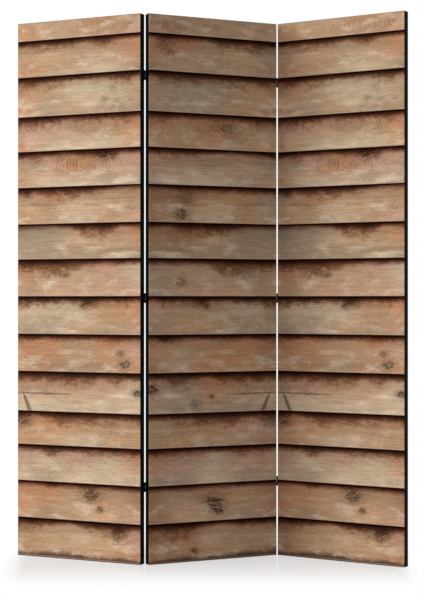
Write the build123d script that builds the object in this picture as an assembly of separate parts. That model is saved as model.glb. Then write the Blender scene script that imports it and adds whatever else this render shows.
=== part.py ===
from build123d import *
import os

# Folding screen of three tall panels that stands in a zigzag.
# Each panel is a doweled pine frame. Printed canvas is stretched over its front and
# plain black cloth over its back. Both are folded round the frame's edges and held by
# one row of staples, and black tape covers the staples.
# Neighbouring panels are joined by three double-acting screen hinges. Such a hinge has
# one pivot at the front faces and one at the back faces, with a loose link between
# them, so each fold can close either way.
#
# Sizes are in millimetres and angles in degrees.
# +Z is up, +X runs along the screen to the viewer's right, and the print faces -Y.
# The origin is on the floor, in the middle of the footprint.

# Panels
PANEL_WIDTH = 450.0
PANEL_HEIGHT = 1720.0
PANEL_THICKNESS = 27.0

# How the screen stands: each fold is measured from two panels in one plane
LEFT_FOLD = 51.0
RIGHT_FOLD = 57.5
MIDDLE_PANEL_TURN = 25.5

# Pine frame
STILE_WIDTH = 38.0
RAIL_WIDTH = 38.0
FRAME_EDGE_RADIUS = 1.2
DOWEL_RADIUS = 4.0
DOWEL_CLEARANCE = 0.05
DOWEL_END_ROOM = 1.0
DOWEL_END_WOOD = 15.0          # from a dowel's hole to the stile's outer edge
DOWEL_EDGE_WOOD = 9.5          # from a dowel's axis to the rail's edge

# Canvas, back cloth and edge tape
CLOTH_THICKNESS = 0.5
CLOTH_CORNER_ROOM = 0.4        # by how much the cloth's fold is tighter than the wood's
CLOTH_SEAM = 1.0               # between the folded edges of canvas and back cloth
TAPE_THICKNESS = 0.5

# Staples that bridge the seam between canvas and back cloth
STAPLE_CROWN = 12.0
STAPLE_WIRE_WIDTH = 1.0
STAPLE_WIRE_THICKNESS = 0.5
STAPLE_LEG_LENGTH = 8.0
STAPLE_SPACING = 85.0
STAPLE_DOWEL_ROOM = 8.0        # along an edge, from a dowel's end to the first staple
STAPLE_HINGE_ROOM = 12.0       # along an edge, from a hinge leaf to the nearest staple

# Where the hinges are
BOTTOM_HINGE_RISE = 240.0      # from the floor to the bottom hinge's middle
TOP_HINGE_DROP = 190.0         # from the panel's top to the top hinge's middle
MIDDLE_HINGE_DROP = 28.0       # from the panel's mid-height to the middle hinge's middle

# Hinges
PIN_RADIUS = 0.62
PIN_CLEARANCE = 0.03
PIN_HEAD_OVERHANG = 0.5
PIN_HEAD_HEIGHT = 0.7
KNUCKLE_WALL = 0.6
KNUCKLE_CLEARANCE = 0.25       # from a knuckle to either panel's edge
LINK_KNUCKLE_HEIGHT = 14.0
LEAF_KNUCKLE_HEIGHT = 7.75
KNUCKLE_END_GAP = 0.25
LEAF_THICKNESS = 0.7
LINK_THICKNESS = 0.7
PLATE_CLEARANCE = 0.45         # from the link's plate to either leaf
NOTCH_CLEARANCE = 0.3
LEAF_END_GAP = 4.5             # from a leaf's free end to the other pivot's axis
PIVOT_STANDOFF = 0.5           # from the panel's face to the pivot's axis

# Countersunk screws through the hinge leaves
SCREW_RADIUS = 1.5
SCREW_LENGTH = 20.0
SCREW_TIP_LENGTH = 4.0
SCREW_TIP_RADIUS = 0.3
SCREW_HEAD_RADIUS = 2.7
SCREW_HEAD_DEPTH = 1.6
SCREW_END_MARGIN = 6.0         # from a leaf's end to the screw's axis
RECESS_WIDTH = 0.7
RECESS_LENGTH = 3.0
RECESS_DEPTH = 1.1

# Sizes that follow from the ones above
SKIN = TAPE_THICKNESS + CLOTH_THICKNESS
FRAME_HALF_DEPTH = PANEL_THICKNESS / 2 - CLOTH_THICKNESS
INNER_FOLD_RADIUS = FRAME_EDGE_RADIUS - CLOTH_CORNER_ROOM
OUTER_FOLD_RADIUS = INNER_FOLD_RADIUS + CLOTH_THICKNESS
DOWEL_HOLE_DEPTH = STILE_WIDTH - DOWEL_END_WOOD
DOWEL_LENGTH = 2 * (DOWEL_HOLE_DEPTH - DOWEL_END_ROOM)
DOWEL_SPACING = RAIL_WIDTH - 2 * DOWEL_EDGE_WOOD
PIN_HOLE_RADIUS = PIN_RADIUS + PIN_CLEARANCE
PIN_HEAD_RADIUS = PIN_RADIUS + PIN_HEAD_OVERHANG
KNUCKLE_RADIUS = PIN_HOLE_RADIUS + KNUCKLE_WALL
PANEL_GAP = 2 * max(
    KNUCKLE_RADIUS + KNUCKLE_CLEARANCE,
    LEAF_THICKNESS + PLATE_CLEARANCE + LINK_THICKNESS / 2,
)
PIVOT_Y = PANEL_THICKNESS / 2 + PIVOT_STANDOFF
HINGE_HALF_HEIGHT = LINK_KNUCKLE_HEIGHT / 2 + KNUCKLE_END_GAP + LEAF_KNUCKLE_HEIGHT
SCREW_SPACING = 2 * (HINGE_HALF_HEIGHT - SCREW_END_MARGIN)
LEFT_GAP_X = -PANEL_GAP / 2
RIGHT_GAP_X = PANEL_WIDTH + PANEL_GAP / 2
HINGE_HEIGHTS = {
    "bottom": BOTTOM_HINGE_RISE,
    "middle": PANEL_HEIGHT / 2 - MIDDLE_HINGE_DROP,
    "top": PANEL_HEIGHT - TOP_HINGE_DROP,
}
FRONT, BACK = -1, 1


def block(low, high):
    """A box between two opposite corners."""
    size = [b - a for a, b in zip(low, high)]
    middle = [(a + b) / 2 for a, b in zip(low, high)]
    return Pos(*middle) * Box(*size)


def corners(shape):
    """The low and high corner of the box round a shape."""
    bounds = shape.bounding_box()
    return tuple(bounds.min), tuple(bounds.max)


def cut(shape, tools):
    """The shape less those tools that reach it."""
    low, high = corners(shape)
    hits = []
    for tool in tools:
        tool_low, tool_high = corners(tool)
        if all(tool_low[i] <= high[i] and low[i] <= tool_high[i] for i in range(3)):
            hits.append(tool)
    return shape - hits if hits else shape


# A panel is built upright with its left edge at x = 0, its middle plane at y = 0 and
# its foot at z = 0.

def rounded_frame_block():
    """The outside of the pine frame, with its edges eased for the cloth."""
    body = block(
        (SKIN, -FRAME_HALF_DEPTH, SKIN),
        (PANEL_WIDTH - SKIN, FRAME_HALF_DEPTH, PANEL_HEIGHT - SKIN),
    )
    return fillet(body.edges(), FRAME_EDGE_RADIUS)


def rail_middles():
    """Height of each rail's middle, evenly spaced from the bottom to the top."""
    names = ("bottom_rail", "lower_rail", "upper_rail", "top_rail")
    lowest = SKIN + RAIL_WIDTH / 2
    rise = (PANEL_HEIGHT - 2 * lowest) / (len(names) - 1)
    return {name: lowest + i * rise for i, name in enumerate(names)}


def stile_edges():
    """Inner edge of the left and of the right stile."""
    return SKIN + STILE_WIDTH, PANEL_WIDTH - SKIN - STILE_WIDTH


def frame_members():
    """The two stiles and the rails between them, by name, with no holes yet."""
    outside = rounded_frame_block()
    left, right = stile_edges()
    deep = PANEL_THICKNESS
    members = {
        "left_stile": outside & block((0, -deep, 0), (left, deep, PANEL_HEIGHT)),
        "right_stile": outside & block((right, -deep, 0), (PANEL_WIDTH, deep, PANEL_HEIGHT)),
    }
    for name, middle in rail_middles().items():
        low, high = middle - RAIL_WIDTH / 2, middle + RAIL_WIDTH / 2
        members[name] = outside & block((left, -deep, low), (right, deep, high))
    return members


def at_dowel_joints(shape):
    """An upright shape laid along X at each dowel's place, across stile and rail."""
    return [
        Pos(x, 0, middle + side * DOWEL_SPACING / 2) * Rot(Y=90) * shape
        for middle in rail_middles().values()
        for x in stile_edges()
        for side in (-1, 1)
    ]


def dowels():
    """Every dowel of a panel."""
    return at_dowel_joints(Cylinder(DOWEL_RADIUS, DOWEL_LENGTH))


def dowel_holes():
    """The drilled holes, a little wider and longer than the dowels."""
    return at_dowel_joints(Cylinder(DOWEL_RADIUS + DOWEL_CLEARANCE, 2 * DOWEL_HOLE_DEPTH))


def cloth_pan(side):
    """Cloth stretched over the front or back of the frame and folded round its edges."""
    def solid(margin, face_y, end_y, radius):
        low_y, high_y = sorted((face_y, end_y))
        body = block(
            (margin, low_y, margin), (PANEL_WIDTH - margin, high_y, PANEL_HEIGHT - margin)
        )
        face = body.faces().sort_by(Axis.Y)[0 if side == FRONT else -1]
        return fillet(face.edges() + body.edges().filter_by(Axis.Y), radius)

    seam_y, past_seam_y = side * CLOTH_SEAM / 2, -side * CLOTH_SEAM
    outside = solid(TAPE_THICKNESS, side * PANEL_THICKNESS / 2, seam_y, OUTER_FOLD_RADIUS)
    inside = solid(SKIN, side * FRAME_HALF_DEPTH, past_seam_y, INNER_FOLD_RADIUS)
    return outside - inside


def edge_tape():
    """Black tape along the flat of a panel's four edges."""
    half = PANEL_THICKNESS / 2 - OUTER_FOLD_RADIUS
    right, top, thick = PANEL_WIDTH, PANEL_HEIGHT, TAPE_THICKNESS
    return [
        block((0, -half, 0), (thick, half, top)),
        block((right - thick, -half, 0), (right, half, top)),
        block((thick, -half, 0), (right - thick, half, thick)),
        block((thick, -half, top - thick), (right - thick, half, top)),
    ]


def staple():
    """A staple whose crown lies along Y with its outside at z = 0, and legs down -Z."""
    half, wire, thick = STAPLE_CROWN / 2, STAPLE_WIRE_WIDTH / 2, STAPLE_WIRE_THICKNESS
    outside = block((-wire, -half, -STAPLE_LEG_LENGTH), (wire, half, 0))
    inside = block((-wire, thick - half, -STAPLE_LEG_LENGTH), (wire, half - thick, -thick))
    return outside - inside


def staple_steps(length):
    """Evenly spaced places along an edge, between its two corner joints."""
    margin = SKIN + STILE_WIDTH + DOWEL_LENGTH / 2 + STAPLE_DOWEL_ROOM
    run = length - 2 * margin
    count = max(1, round(run / STAPLE_SPACING))
    return [margin + run * i / count for i in range(count + 1)]


def staples(hinged_edges):
    """The staples round a panel. None lies under a hinge leaf."""
    keep_off = HINGE_HALF_HEIGHT + STAPLE_HINGE_ROOM
    beside_hinges = [
        z
        for z in staple_steps(PANEL_HEIGHT)
        if all(abs(z - middle) > keep_off for middle in HINGE_HEIGHTS.values())
    ]
    one = staple()
    placed = []
    for edge, x, turn in (
        ("left", TAPE_THICKNESS, -90),
        ("right", PANEL_WIDTH - TAPE_THICKNESS, 90),
    ):
        heights = beside_hinges if edge in hinged_edges else staple_steps(PANEL_HEIGHT)
        placed += [Pos(x, 0, z) * Rot(Y=turn) * one for z in heights]
    for z, turn in ((TAPE_THICKNESS, 180), (PANEL_HEIGHT - TAPE_THICKNESS, 0)):
        placed += [Pos(x, 0, z) * Rot(Y=turn) * one for x in staple_steps(PANEL_WIDTH)]
    return placed


# A hinge is built with its middle at the origin, between two panels in one plane.
# Its front leaf is on the panel at -X and its back leaf on the panel at +X.

def knuckle(pivot_y, z_low, z_high):
    """A rolled knuckle round one pivot, before its hole."""
    return Pos(0, pivot_y, (z_low + z_high) / 2) * Cylinder(KNUCKLE_RADIUS, z_high - z_low)


def pin_hole(pivot_y):
    """The hole for a pivot's pin."""
    return Pos(0, pivot_y, 0) * Cylinder(PIN_HOLE_RADIUS, 4 * HINGE_HALF_HEIGHT)


def front_leaf():
    """The leaf with the two outer knuckles at the front pivot."""
    top = HINGE_HALF_HEIGHT
    notch_top = LINK_KNUCKLE_HEIGHT / 2 + KNUCKLE_END_GAP
    notch_y = -PIVOT_Y + KNUCKLE_RADIUS + NOTCH_CLEARANCE
    panel_x = -PANEL_GAP / 2
    plate = block(
        (panel_x, -PIVOT_Y, -top), (panel_x + LEAF_THICKNESS, PIVOT_Y - LEAF_END_GAP, top)
    )
    root = block((panel_x, -PIVOT_Y, -top), (0, -PIVOT_Y + LEAF_THICKNESS, top))
    notch = block((-PANEL_GAP, -2 * PIVOT_Y, -notch_top), (PANEL_GAP, notch_y, notch_top))
    knuckles = [knuckle(-PIVOT_Y, -top, -notch_top), knuckle(-PIVOT_Y, notch_top, top)]
    holes = [place * screw_body() for place in leaf_screw_places()]
    return (plate + root - notch) + knuckles - [pin_hole(-PIVOT_Y), *holes]


def link():
    """The loose plate between the leaves, with one knuckle at each pivot."""
    knuckle_top = LINK_KNUCKLE_HEIGHT / 2
    plate_y = PIVOT_Y - KNUCKLE_RADIUS - NOTCH_CLEARANCE
    thick = LINK_THICKNESS / 2
    plate = block(
        (-thick, -plate_y, -HINGE_HALF_HEIGHT), (thick, plate_y, HINGE_HALF_HEIGHT)
    )
    neck = block((-thick, -PIVOT_Y, -knuckle_top), (thick, PIVOT_Y, knuckle_top))
    pivots = [side * PIVOT_Y for side in (FRONT, BACK)]
    knuckles = [knuckle(y, -knuckle_top, knuckle_top) for y in pivots]
    return plate + neck + knuckles - [pin_hole(y) for y in pivots]


def hinge_pin(side):
    """A pin with a flat round head at each end, at the front or back pivot."""
    head = Cylinder(PIN_HEAD_RADIUS, PIN_HEAD_HEIGHT)
    head_z = HINGE_HALF_HEIGHT + PIN_HEAD_HEIGHT / 2
    shank = Cylinder(PIN_RADIUS, 2 * HINGE_HALF_HEIGHT)
    return Pos(0, side * PIVOT_Y, 0) * (shank + [Pos(0, 0, z) * head for z in (-head_z, head_z)])


def screw_body():
    """A countersunk screw without its recess, head up at z = 0 and point down -Z."""
    outline = Polyline(
        (0, 0),
        (SCREW_HEAD_RADIUS, 0),
        (SCREW_RADIUS, -SCREW_HEAD_DEPTH),
        (SCREW_RADIUS, SCREW_TIP_LENGTH - SCREW_LENGTH),
        (SCREW_TIP_RADIUS, -SCREW_LENGTH),
        (0, -SCREW_LENGTH),
        close=True,
    )
    return revolve(Plane.XZ * make_face(outline), Axis.Z)


def screw():
    """The finished screw, with a crossed recess in its head."""
    half_length, half_width = RECESS_LENGTH / 2, RECESS_WIDTH / 2
    past_head = SCREW_HEAD_DEPTH
    return screw_body() - [
        block((-half_length, -half_width, -RECESS_DEPTH), (half_length, half_width, past_head)),
        block((-half_width, -half_length, -RECESS_DEPTH), (half_width, half_length, past_head)),
    ]


def leaf_screw_places():
    """Where the front leaf's screws go, in the middle of the panel's thickness."""
    head_x = -PANEL_GAP / 2 + LEAF_THICKNESS
    return [Pos(head_x, 0, side * SCREW_SPACING / 2) * Rot(Y=90) for side in (-1, 1)]


# The back leaf and its screws are the front ones turned half round the hinge's middle.
LEAF_TURNS = {"front": Rot(Z=0), "back": Rot(Z=180)}


def hinge_places(gap_x):
    """The middle of each hinge of a fold, by name."""
    return {name: Pos(gap_x, 0, z) for name, z in HINGE_HEIGHTS.items()}


def at_leaf_screws(gap_x, leaf, shape):
    """A shape at every screw place of one leaf of each hinge of a fold."""
    return [
        place * LEAF_TURNS[leaf] * screw_place * shape
        for place in hinge_places(gap_x).values()
        for screw_place in leaf_screw_places()
    ]


def panel_nodes(side, hinged_edges):
    """The pieces of one panel, by node name."""
    screws = []
    if "left" in hinged_edges:
        screws += at_leaf_screws(LEFT_GAP_X, "back", screw_body())
    if "right" in hinged_edges:
        screws += at_leaf_screws(RIGHT_GAP_X, "front", screw_body())
    fasteners = staples(hinged_edges)
    holes = dowel_holes()
    pieces = {
        name: [cut(member, holes + fasteners + screws)]
        for name, member in frame_members().items()
    }
    pieces["dowels"] = dowels()
    pieces["print_canvas"] = [cut(cloth_pan(FRONT), fasteners + screws)]
    pieces["back_cloth"] = [cut(cloth_pan(BACK), fasteners + screws)]
    pieces["staples"] = fasteners
    pieces["edge_tape"] = [cut(strip, screws) for strip in edge_tape()]
    return {f"{side}_panel_{name}": solids for name, solids in pieces.items()}


def fold_nodes(side, gap_x):
    """The hinges of one fold by node name, in three groups: what is fixed to the panel
    on its left, the loose links, and what is fixed to the panel on its right."""
    places = hinge_places(gap_x)
    on_left = {
        f"{side}_fold_front_pins": [place * hinge_pin(FRONT) for place in places.values()],
        f"{side}_fold_front_leaf_screws": at_leaf_screws(gap_x, "front", screw()),
    }
    on_right = {
        f"{side}_fold_back_pins": [place * hinge_pin(BACK) for place in places.values()],
        f"{side}_fold_back_leaf_screws": at_leaf_screws(gap_x, "back", screw()),
    }
    loose = {}
    for name, place in places.items():
        hinge = f"{side}_fold_{name}_hinge"
        on_left[f"{hinge}_front_leaf"] = [place * LEAF_TURNS["front"] * front_leaf()]
        on_right[f"{hinge}_back_leaf"] = [place * LEAF_TURNS["back"] * front_leaf()]
        loose[f"{hinge}_link"] = [place * link()]
    return on_left, loose, on_right


# Each body is laid out in one plane with the others, with the middle panel's left edge
# at x = 0, and is then turned about its pivot to where it stands.

def placed(where, nodes):
    """The nodes with every solid moved to a place."""
    return {node: [where * solid for solid in solids] for node, solids in nodes.items()}


def turned_about(x, y, angle):
    """A turn about an upright axis."""
    return Pos(x, y, 0) * Rot(Z=angle) * Pos(-x, -y, 0)


def standing_bodies():
    """Every node of the screen as it stands, grouped by the body that it moves with, and
    the place of each body's flat layout."""
    pitch = PANEL_WIDTH + PANEL_GAP
    left_of_left_fold, left_links, right_of_left_fold = fold_nodes("left", LEFT_GAP_X)
    left_of_right_fold, right_links, right_of_right_fold = fold_nodes("right", RIGHT_GAP_X)
    left_panel = placed(Pos(-pitch, 0, 0), panel_nodes("left", ["right"]))
    right_panel = placed(Pos(pitch, 0, 0), panel_nodes("right", ["left"]))
    flat = {
        "middle_panel": panel_nodes("middle", ["left", "right"])
        | right_of_left_fold
        | left_of_right_fold,
        "left_links": left_links,
        "left_panel": left_panel | left_of_left_fold,
        "right_links": right_links,
        "right_panel": right_panel | right_of_right_fold,
    }

    # The left fold stands open at its back pivots and the right fold at its front ones,
    # so each fold's links lie along its outer panel.
    middle = Rot(Z=MIDDLE_PANEL_TURN)
    left = middle * turned_about(LEFT_GAP_X, PIVOT_Y, -LEFT_FOLD)
    right = middle * turned_about(RIGHT_GAP_X, -PIVOT_Y, -RIGHT_FOLD)
    turns = {
        "middle_panel": middle,
        "left_links": left,
        "left_panel": left,
        "right_links": right,
        "right_panel": right,
    }
    turned = {body: placed(turns[body], nodes) for body, nodes in flat.items()}
    every = [solid for nodes in turned.values() for solids in nodes.values() for solid in solids]
    bounds = Compound(every).bounding_box()
    centre = Pos(-(bounds.min.X + bounds.max.X) / 2, -(bounds.min.Y + bounds.max.Y) / 2, 0)
    bodies = {body: placed(centre, nodes) for body, nodes in turned.items()}
    return bodies, {body: centre * turn for body, turn in turns.items()}


def main():
    os.makedirs("parts", exist_ok=True)
    bodies, _ = standing_bodies()
    for nodes in bodies.values():
        for node, solids in nodes.items():
            shape = solids[0] if len(solids) == 1 else Compound(solids)
            export_step(shape, f"parts/{node}.step")


if __name__ == "__main__":
    main()
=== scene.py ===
"""Looks of a folding screen whose three panels carry a print of weathered boards.

Sizes are in metres and angles in degrees. +Z is up and the print faces -Y.
A panel's own coordinates have x along the panel from its left edge, y from its middle
plane towards the back, and z up from the floor.
"""
import logging
import math
from dataclasses import dataclass, field
from enum import Enum
from typing import Callable, ClassVar, Sequence

import bpy
from mathutils import Matrix, Vector


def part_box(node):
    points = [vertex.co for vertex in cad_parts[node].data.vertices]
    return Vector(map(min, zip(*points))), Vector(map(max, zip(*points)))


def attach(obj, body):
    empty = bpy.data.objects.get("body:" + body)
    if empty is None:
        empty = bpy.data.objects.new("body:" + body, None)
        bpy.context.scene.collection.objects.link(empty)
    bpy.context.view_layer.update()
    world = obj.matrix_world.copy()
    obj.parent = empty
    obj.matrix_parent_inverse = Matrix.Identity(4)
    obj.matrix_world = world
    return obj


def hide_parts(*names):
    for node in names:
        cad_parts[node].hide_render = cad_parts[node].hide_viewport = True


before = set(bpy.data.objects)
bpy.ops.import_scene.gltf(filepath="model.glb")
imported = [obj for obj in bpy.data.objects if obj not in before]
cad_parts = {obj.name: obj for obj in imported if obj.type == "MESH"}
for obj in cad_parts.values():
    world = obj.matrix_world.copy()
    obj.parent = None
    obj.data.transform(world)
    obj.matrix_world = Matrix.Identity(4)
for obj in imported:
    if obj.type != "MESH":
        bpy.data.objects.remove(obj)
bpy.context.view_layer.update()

log = logging.getLogger("folding_screen")
Colour = tuple[float, float, float]
Socket = bpy.types.NodeSocket
# Finds one of a node tree's inputs by its name
Given = Callable[[str], Socket]

MM = 0.001
FRONT, BACK = -1.0, 1.0
# Where a knot or crack that a board doesn't have is put, off the cloth
FAR_AWAY = -10.0


def linear(red: float, green: float, blue: float) -> Colour:
    """Turns a display colour into the linear colour that a shader takes.

    Args:
        red: Red from 0 to 255.
        green: Green from 0 to 255.
        blue: Blue from 0 to 255.

    Returns:
        The linear colour.
    """
    shares = (value / 255 for value in (red, green, blue))
    return tuple(s / 12.92 if s <= 0.04045 else ((s + 0.055) / 1.055) ** 2.4 for s in shares)


def eased(share: float) -> float:
    """A smooth step from 0 to 1."""
    share = min(1.0, max(0.0, share))
    return share * share * (3 - 2 * share)


def between(stops: Sequence[float], share: float) -> float:
    """Reads a row of evenly spaced values.

    Args:
        stops: The values.
        share: Where to read, from 0 at the first to 1 at the last.

    Returns:
        The value there, with soft changes between the stops.
    """
    if len(stops) == 1:
        return stops[0]
    place = min(1.0, max(0.0, share)) * (len(stops) - 1)
    low = min(int(place), len(stops) - 2)
    blend = eased(place - low)
    return stops[low] * (1 - blend) + stops[low + 1] * blend


# Node trees


class Graph:
    """Adds nodes to one shader or geometry tree and joins them."""

    def __init__(self, tree: bpy.types.NodeTree) -> None:
        """Keeps the tree to draw in."""
        self.tree = tree

    def feed(self, socket: Socket, value: object) -> None:
        """Gives an input a value, or joins it to another node's output.

        Args:
            socket: The input.
            value: A number, colour, vector or name, or the output to join it to.
        """
        if isinstance(value, bpy.types.NodeSocket):
            self.tree.links.new(value, socket)
        elif isinstance(value, tuple) and len(value) == 3 and socket.type == "RGBA":
            socket.default_value = (*value, 1.0)
        else:
            socket.default_value = value

    def add(self, kind: str, inputs: dict[str | int, object] | None = None,
            **settings: object) -> bpy.types.Node:
        """Adds a node.

        Args:
            kind: The node's type.
            inputs: Values or outputs for its inputs, by name or number.
            **settings: The node's own settings.

        Returns:
            The new node.
        """
        node = self.tree.nodes.new(kind)
        for name, value in settings.items():
            setattr(node, name, value)
        for key, value in (inputs or {}).items():
            self.feed(node.inputs[key], value)
        return node

    def math(self, operation: str, *values: object) -> Socket:
        """The result of a Math node."""
        inputs = dict(enumerate(values))
        return self.add("ShaderNodeMath", inputs, operation=operation).outputs[0]

    def product(self, first: object, *others: object) -> Socket:
        """Multiplies numbers.

        Args:
            first: The first number.
            *others: The others.

        Returns:
            Their product.
        """
        for value in others:
            first = self.math("MULTIPLY", first, value)
        return first

    def total(self, first: object, *others: object) -> Socket:
        """Adds numbers.

        Args:
            first: The first number.
            *others: The others.

        Returns:
            Their sum.
        """
        for value in others:
            first = self.math("ADD", first, value)
        return first

    def less(self, first: object, second: object) -> Socket:
        """The first number less the second."""
        return self.math("SUBTRACT", first, second)

    def vector(self, operation: str, *values: object) -> Socket:
        """Adds a Vector Math node.

        Args:
            operation: What it does.
            *values: Values or outputs for its inputs.

        Returns:
            Its result, which is a number for lengths, distances and dot products.
        """
        inputs = dict(enumerate(values))
        node = self.add("ShaderNodeVectorMath", inputs, operation=operation)
        gives_number = operation in ("LENGTH", "DISTANCE", "DOT_PRODUCT")
        return node.outputs["Value" if gives_number else "Vector"]

    def times(self, vector: object, factor: object) -> Socket:
        """A vector times a number."""
        return self.add("ShaderNodeVectorMath", {0: vector, "Scale": factor},
                        operation="SCALE").outputs["Vector"]

    def point(self, x: object = 0.0, y: object = 0.0, z: object = 0.0) -> Socket:
        """A vector made of three numbers."""
        return self.add("ShaderNodeCombineXYZ", {0: x, 1: y, 2: z}).outputs[0]

    def grey(self, light: object) -> Socket:
        """A grey of one lightness."""
        return self.point(light, light, light)

    def parts(self, vector: object) -> tuple[Socket, Socket, Socket]:
        """The three numbers of a vector."""
        return tuple(self.add("ShaderNodeSeparateXYZ", {0: vector}).outputs)

    def noise(self, position: object, detail: float = 2.0, roughness: float = 0.5,
              warp: float = 0.0) -> Socket:
        """Soft noise, mostly from 0.25 to 0.75, with cells of about one unit.

        Args:
            position: Where to read the noise.
            detail: How many finer layers it has.
            roughness: How strong the finer layers are.
            warp: How far it is bent.

        Returns:
            The noise's value.
        """
        inputs = {"Vector": position, "Scale": 1.0, "Detail": detail,
                  "Roughness": roughness, "Distortion": warp}
        return self.add("ShaderNodeTexNoise", inputs).outputs[0]

    def spread(self, noise: object, low: float, high: float) -> Socket:
        """Noise spread out so that it runs from low to high."""
        inputs = {"Value": noise, "From Min": 0.25, "From Max": 0.75, "To Min": low,
                  "To Max": high}
        return self.add("ShaderNodeMapRange", inputs, clamp=False).outputs[0]

    def step(self, value: object, low: object, high: object, first: object = 0.0,
             last: object = 1.0) -> Socket:
        """Steps smoothly from one value to another.

        Args:
            value: What the step follows.
            low: Where it starts. It may lie above high.
            high: Where it ends.
            first: The result before the step.
            last: The result after it.

        Returns:
            The stepped value.
        """
        inputs = {"Value": value, "From Min": low, "From Max": high, "To Min": first,
                  "To Max": last}
        return self.add("ShaderNodeMapRange", inputs, interpolation_type="SMOOTHSTEP").outputs[0]

    def mix(self, factor: object, first: object, second: object, blend: str = "MIX") -> Socket:
        """Lays one colour on another.

        Args:
            factor: How much of the second colour shows.
            first: The colour below.
            second: The colour laid on it.
            blend: How it is laid on.

        Returns:
            The mixed colour.
        """
        node = self.add("ShaderNodeMix", data_type="RGBA", blend_type=blend)
        for number, value in ((0, factor), (6, first), (7, second)):
            self.feed(node.inputs[number], value)
        return node.outputs[2]

    def bump(self, height: object, depth: float, strength: float = 1.0) -> Socket:
        """A normal from a height between 0 and 1, where 1 is as high as depth."""
        inputs = {"Height": height, "Distance": depth, "Strength": strength}
        return self.add("ShaderNodeBump", inputs).outputs["Normal"]

    def read(self, name: str, output: str = "Fac") -> Socket:
        """What the mesh carries under a name."""
        node = self.add("ShaderNodeAttribute", attribute_name=name, attribute_type="GEOMETRY")
        return node.outputs[output]

    def on_map(self, name: str) -> Socket:
        """The position on one of the mesh's UV maps."""
        return self.add("ShaderNodeUVMap", uv_map=name).outputs["UV"]

    def carried(self, name: str, kind: str) -> Socket:
        """What the geometry carries under a name, in a geometry tree."""
        return self.add("GeometryNodeInputNamedAttribute", {"Name": name},
                        data_type=kind).outputs["Attribute"]

    def looked_at(self) -> Socket:
        """1 for a ray from the camera, a reflection or a view through something, else 0."""
        path = self.add("ShaderNodeLightPath").outputs
        bounced = self.math("MAXIMUM", path["Is Glossy Ray"], path["Is Transmission Ray"])
        return self.math("MAXIMUM", path["Is Camera Ray"], bounced)

    def in_space(self, turn: float = 0.0) -> Socket:
        """The position in the frame, turned back by the angle that a piece stands at."""
        inputs = {"Vector": self.add("ShaderNodeTexCoord").outputs["Object"],
                  "Rotation": (0.0, 0.0, -math.radians(turn))}
        return self.add("ShaderNodeMapping", inputs).outputs["Vector"]


class Port(Enum):
    """Kinds of input and output that a node group has."""

    NUMBER = "NodeSocketFloat"
    VECTOR = "NodeSocketVector"
    MATERIAL = "NodeSocketMaterial"
    GEOMETRY = "NodeSocketGeometry"


# An input for a place, which starts at the origin
ORIGIN = (Port.VECTOR, (0.0, 0.0, 0.0))


class Effect:
    """A shader node group with named inputs and outputs, built once and used by materials."""

    title: ClassVar[str]
    takes: ClassVar[dict[str, tuple[Port, object]]]
    gives: ClassVar[dict[str, Port]]

    @classmethod
    def draw(cls, graph: Graph, given: Given) -> dict[str, Socket]:
        """Draws what the group does.

        Args:
            graph: The group's own tree.
            given: Finds one of the group's inputs by its name.

        Returns:
            What each of the group's outputs gives.
        """
        raise NotImplementedError

    @classmethod
    def tree(cls) -> bpy.types.NodeTree:
        """Draws the group's tree when it is first asked for.

        Returns:
            The tree.
        """
        made = bpy.data.node_groups.get(cls.title)
        if made:
            return made
        tree = bpy.data.node_groups.new(cls.title, "ShaderNodeTree")
        for name, (port, start) in cls.takes.items():
            socket = tree.interface.new_socket(name, in_out="INPUT", socket_type=port.value)
            socket.default_value = start
        for name, port in cls.gives.items():
            tree.interface.new_socket(name, in_out="OUTPUT", socket_type=port.value)
        graph = Graph(tree)
        entry = graph.add("NodeGroupInput")
        graph.add("NodeGroupOutput", cls.draw(graph, lambda name: entry.outputs[name]))
        return tree

    @classmethod
    def place(cls, graph: Graph, inputs: dict[str, object]) -> dict[str, Socket]:
        """Puts the group in a material.

        Args:
            graph: The material's tree.
            inputs: Values or outputs for the group's inputs.

        Returns:
            The group's outputs by name.
        """
        node = graph.add("ShaderNodeGroup", node_tree=cls.tree())
        for name, value in inputs.items():
            graph.feed(node.inputs[name], value)
        return {name: node.outputs[name] for name in cls.gives}


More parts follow.
